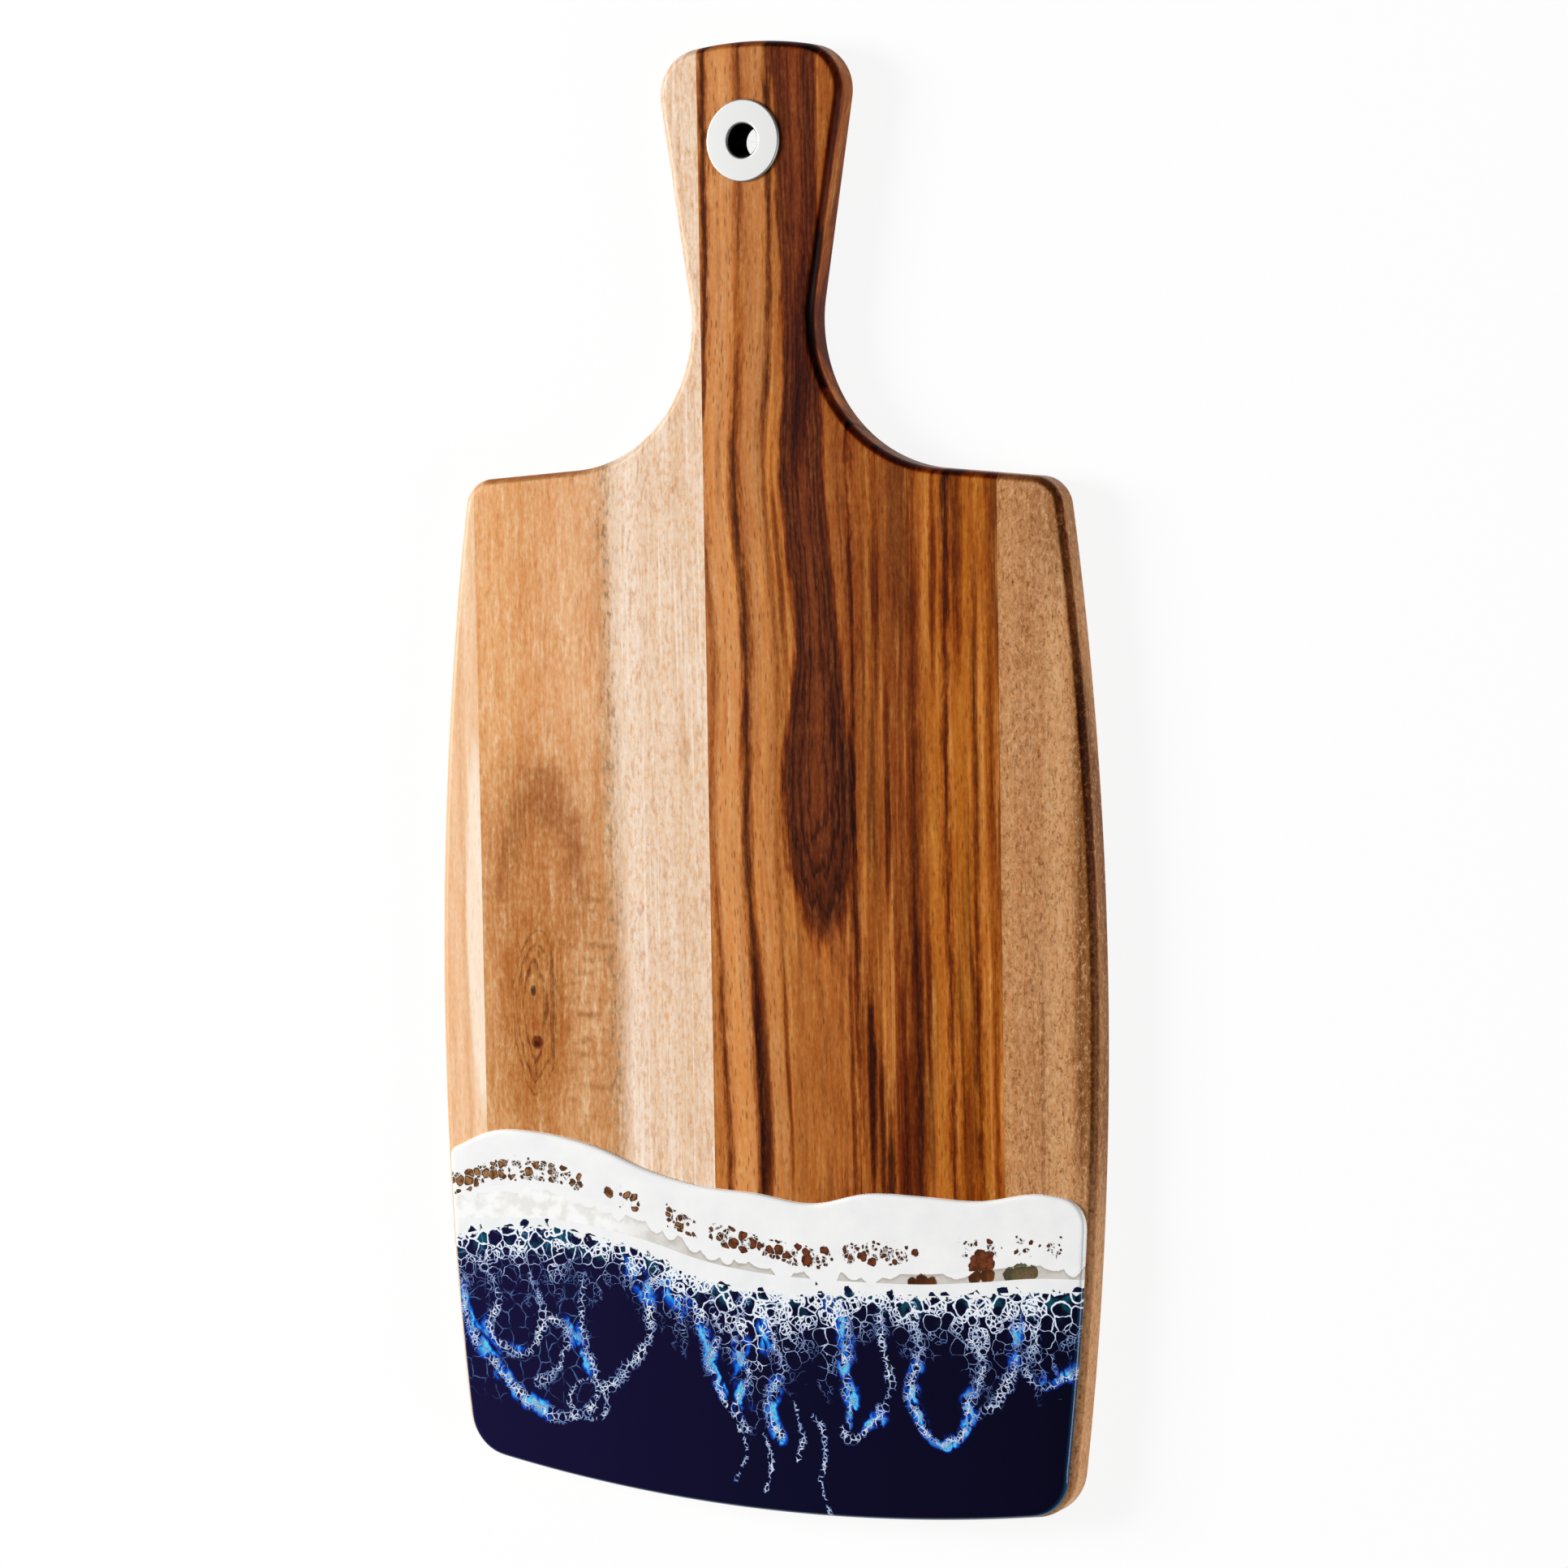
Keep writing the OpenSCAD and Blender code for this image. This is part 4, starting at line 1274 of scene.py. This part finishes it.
def white_lacing(tree, colour, place, patchy):
    """White walls of cells along the strands and below the foam, then the threads and the foam's edge."""
    rough = mottle(tree, place, 0.9)
    # The strands' small bubbles are lit unevenly. The fringe's walls thin out downwards and turn blue-grey
    lit = add(tree, "MapRange", {
        "Value": mottle(tree, place, 6), "From Min": 0.36, "From Max": 0.62, "To Min": 0.6, "To Max": 1})
    for name, wall, least, more, soft, bright in (
        ("run_band", froth(tree, place, (2.6, 1.7), split=0.5), 0.0, 0.16, 0.35, lit),
        ("fringe", bubbles_at_foam(tree, place), -0.1, 0.46, 0.12, 1.0),
    ):
        cover = level_of(tree, name, patchy, 0.25)
        covered = add(tree, "Math", {0: cover, 1: 0.0}, operation="MAXIMUM")
        square = where(tree, cover, covered)
        half_width = add(tree, "Math", {0: square, 1: more, 2: least}, operation="MULTIPLY_ADD")
        beside = add(tree, "Math", {0: roughen(tree, wall, rough, 0.12)}, operation="ABSOLUTE")
        past_wall = add(tree, "Math", {0: beside, 1: half_width}, operation="SUBTRACT")
        drawn = where(tree, (past_wall, 0.22, -0.08), (cover, 0, soft), bright)
        milk = add(tree, "ValToRGB", {"Fac": drawn}, stops=[
            (0.1, "#1a2a6c"), (0.4, "#5f79ae"), (0.7, "#c3d0e3"), (0.92, "#f3f5f6")])
        colour = tint(tree, colour, milk, drawn, 0.03, 0.35, way="LINEAR")
    thread = where(tree, (level_of(tree, "thread", rough, 0.5), 0.15, -0.4), lit)
    colour = tint(tree, colour, "#e6eef7", thread, 0, 1, 0.9)
    margin = level_of(tree, "down", mottle(tree, place, 3.2, 3), 3.6)
    return tint(tree, colour, "#f1f3f4", margin, 0.9, 0.4)


def navy_epoxy():
    material, tree, shader, place = epoxy("navy epoxy with white lacing, poured")
    patchy = mottle(tree, place, 5, 3)
    x, y, _ = add(tree, "SeparateXYZ", {"Vector": place}).outputs
    # Painted reflection: the navy is drawn lighter at the left, as a soft sheen from the light on that side
    navy = add(tree, "ValToRGB", {"Fac": where(tree, (x, -125, 125))},
               stops=[(0, "#140f38"), (0.5, "#0a0828"), (1, "#03021a")])
    teal = where(tree, (level_of(tree, "down"), 12, 3), (patchy, 0.47, 0.64))
    colour = tint(tree, navy, "#0d5060", teal, 0, 1, 0.85)
    colour = blue_glow(tree, colour, place)
    colour = tint(tree, colour, "#0e4a78", level_of(tree, "from_edge"), 1.6, 0.2, 0.7)
    # A faint wide net inside the loops on the left
    wide, _ = cells(tree, place, 6.5, corner_at=0.95)
    net = where(tree, (wide, 0.32, 0.05), (x, -62, -74), (y, end_y + 27, end_y + 36), (patchy, 0.36, 0.6))
    colour = tint(tree, colour, "#5f86c4", net, 0, 1, 0.6)
    wire(tree, shader, {"Base Color": white_lacing(tree, colour, place, patchy)})
    return material


# White: even pigment with a faint grey cast, and holes along its lower edge where the navy shows

def white_pigment(tree, place, dull, bright):
    """White in blotches of a duller and a brighter tone."""
    return add(tree, "ValToRGB", {"Fac": mottle(tree, place, 9, 3)}, stops=[(0.3, dull), (0.7, bright)])


def white_epoxy():
    material, tree, shader, place = epoxy("white epoxy, poured")
    pale = white_pigment(tree, place, "#eef0f0", "#f6f6f5")
    up = level_of(tree, "up", mottle(tree, place, 3.2, 3), 1.2)
    reach = add(tree, "Math", {0: up, 1: 0.45, 2: 0.6}, operation="MULTIPLY_ADD")
    hole = add(tree, "Math", {0: bubbles_at_foam(tree, place), 1: reach}, operation="SUBTRACT")
    wire(tree, shader, {"Base Color": tint(tree, pale, "#0b1236", hole, -0.12, 0.2)})
    return material


# Clear: hazy, with the wood here and there, and the shore's white teeth over it with painted shadow below

def clear_epoxy():
    material, tree, shader, place = epoxy("clear epoxy with white haze, poured")
    haze = mottle(tree, place, 5, 3)
    rough = mottle(tree, place, 1.6)
    x = add(tree, "SeparateXYZ", {"Vector": place}).outputs[0]
    rightwards = where(tree, (x, -60, -22))
    below = level_of(tree, "below_teeth", rough, 0.5)
    opening = level_of(tree, "opening", rough, 0.6)
    hazy = add(tree, "MapRange", {"Value": rightwards, "To Min": 0.3, "To Max": 0.6})
    teeth_shadow_share = add(tree, "MapRange", {"Value": rightwards, "To Min": 0.06, "To Max": 0.6})
    milky = add(tree, "ValToRGB", {"Fac": rightwards}, stops=[(0, "#fafaf8"), (1, "#d3cec7")])
    milky = tint(tree, milky, "#bdb6ad", haze, 0.6, 0.36, hazy)
    # Painted shadow of the teeth on the band below them, fainter at the left
    milky = tint(tree, milky, "#a49c92", where(tree, (below, 1.6, 0.0)), 0, 1, teeth_shadow_share)
    milky = tint(tree, milky, "#5a3520", opening, 0.15, -0.3)
    green = where(tree, (x, 93, 96), (opening, 0.15, -0.3))
    milky = tint(tree, milky, "#4f5c46", green, 0, 1, 0.9)
    veil = add(tree, "MapRange", {
        "Value": opening, "From Min": 0.15, "From Max": -0.4, "To Min": 1.0, "To Max": 0.55})
    tooth = add(tree, "MapRange", {"Value": below, "From Min": 0.12, "From Max": -0.12},
                interpolation_type="SMOOTHSTEP")
    wire(tree, shader, {
        "Base Color": tint(tree, milky, "#f4f5f4", below, 0.12, -0.12),
        "Alpha": add(tree, "Math", {0: veil, 1: tooth}, operation="MAXIMUM"),
    })
    return material


# Shore: white with a row of burst bubbles that show the wood, each with painted shade inside its edge

def pinholes(tree, place, cluster):
    """Distance in millimetres from single small bubbles round the clusters."""
    spacing = 2.7
    small = add(tree, "VectorMath", {0: place, "Scale": 1 / spacing}, operation="SCALE")
    pin = add(tree, "TexVoronoi", {"Vector": small, "Scale": 1}, voronoi_dimensions="2D")
    own = add(tree, "SeparateColor", {0: pin.outputs["Color"]})
    chosen = add(tree, "MapRange", {"Value": own, "From Min": 0.5, "To Max": 0.58})
    radius = where(tree, chosen, (cluster, 0.0, 0.3))
    off = add(tree, "Math", {0: pin, 1: 0.3}, operation="ADD")
    outside = add(tree, "Math", {0: off, 1: radius}, operation="SUBTRACT")
    return add(tree, "Math", {0: outside, 1: spacing}, operation="MULTIPLY")


def shore_epoxy():
    material, tree, shader, place = epoxy("white epoxy with burst bubbles, poured")
    rough = mottle(tree, place, 0.9)
    x = add(tree, "SeparateXYZ", {"Vector": place}).outputs[0]
    cluster = level_of(tree, "cluster", mottle(tree, place, 3), 0.4)
    wall = froth(tree, place, (3.6, 2.4, 1.6), split=0.66, corner_at=0.57)
    walls = {"From Min": 0.1, "From Max": 0.7, "To Min": 2.2, "To Max": 0.1}
    thick = add(tree, "MapRange", {"Value": cluster, **walls}, interpolation_type="SMOOTHSTEP")
    burst = add(tree, "Math", {0: roughen(tree, thick, rough, 0.08), 1: wall}, operation="SUBTRACT")
    opening = level_of(tree, "opening", rough, 0.6)
    window = add(tree, "Math", {0: burst, 1: opening}, operation="MINIMUM")
    window = add(tree, "Math", {0: window, 1: pinholes(tree, place, cluster)}, operation="MINIMUM")
    under = add(tree, "ValToRGB", {"Fac": where(tree, (x, -60, 0))}, stops=[(0, "#a37246"), (1, "#743c24")])
    under = tint(tree, under, "#4a2411", mottle(tree, place, 2.4), 0.4, 0.62, 0.85)
    green = where(tree, (x, 93, 97), (opening, 0.2, -0.2))
    under = tint(tree, under, "#66704f", green, 0, 1, 0.8)
    # Painted shade on the wood just inside each hole's edge
    under = tint(tree, under, "#27120b", window, -0.65, 0.0, 0.9)
    pale = white_pigment(tree, place, "#eff0ef", "#f7f7f6")
    colour = tint(tree, pale, "#8d8178", window, 0.3, 0.0, 0.4)
    wire(tree, shader, {"Base Color": tint(tree, colour, under, window, 0.08, -0.08, way="LINEAR")})
    return material


for material, pieces in (
    (pale_acacia(), [left_edge_wood]),
    (tan_acacia(), [left_wood]),
    (heart_acacia(), [heart_wood]),
    (curly_acacia(), [right_wood]),
    (satin_aluminium(), [eyelet_ring, back_washer]),
    (navy_epoxy(), [sea_film]),
    (white_epoxy(), [foam_film]),
    (clear_epoxy(), [tide_film]),
    (shore_epoxy(), [shore_film]),
):
    for piece in pieces:
        piece.data.materials.append(material)


# Camera and light: the photograph's viewing place, in metres and degrees

camera_place = (0.70793, 0.11393, 1.32160)
camera_turn = (-4.6426, 27.9637, -0.59)
camera = new_object("camera", bpy.data.cameras.new("camera"))
camera.data.sensor_width = 36
camera.data.lens = 99.466
camera.data.clip_start = 0.01
camera.matrix_world = Matrix.LocRotScale(camera_place, Euler([math.radians(a) for a in camera_turn]), None)
bpy.context.scene.camera = camera

# A low window at the left, and a weak white board at the right that lightens the walls there
for name, size, power, spot in (
    ("window_light", 1.4, 223, (-3.1, 0.45, 1.6)),
    ("fill_board", 1.2, 34, (2.3, -0.75, 0.55)),
):
    lamp = new_object(name, bpy.data.lights.new(name, "AREA"))
    lamp.data.shape = "SQUARE"
    lamp.data.size = size
    lamp.data.energy = power
    lamp.location = spot
    lamp.rotation_euler = (-Vector(spot)).to_track_quat("-Z", "Y").to_euler()

world = bpy.data.worlds.new("studio")
bpy.context.scene.world = world
world.use_nodes = True
wire(world.node_tree, world.node_tree.nodes["Background"], {"Color": (1, 1, 1, 1), "Strength": 0.1})


# Paper: white for the camera and for reflections, with a share of the real light so that the shadow stays

def seamless_paper():
    material, tree, shader = new_material("white seamless paper")
    wire(tree, shader, {"Base Color": "#f6f6f6", "Roughness": 0.9})
    rays = add(tree, "LightPath").outputs
    seen = add(tree, "Math", {0: rays["Is Camera Ray"], 1: rays["Is Glossy Ray"]}, operation="ADD")
    seen = add(tree, "Math", {0: seen, 1: rays["Is Transmission Ray"]}, operation="ADD")
    sheet_white = add(tree, "Emission", {"Strength": 1.0})
    mixed = add(tree, "MixShader", {0: where(tree, seen, 0.9), 1: shader, 2: sheet_white})
    wire(tree, tree.nodes["Material Output"], {"Surface": mixed})
    return material


# Floor: a sheet just below the board
floor_half = 6000
floor_gap = 0.0002
floor_corners = [(-floor_half, -floor_half, 0), (floor_half, -floor_half, 0),
                 (floor_half, floor_half, 0), (-floor_half, floor_half, 0)]
floor = new_object("floor", mesh_of("floor", floor_corners, [(0, 1, 2, 3)]))
floor.location.z = -floor_gap
floor.data.materials.append(seamless_paper())

bpy.context.scene.view_settings.view_transform = "Standard"
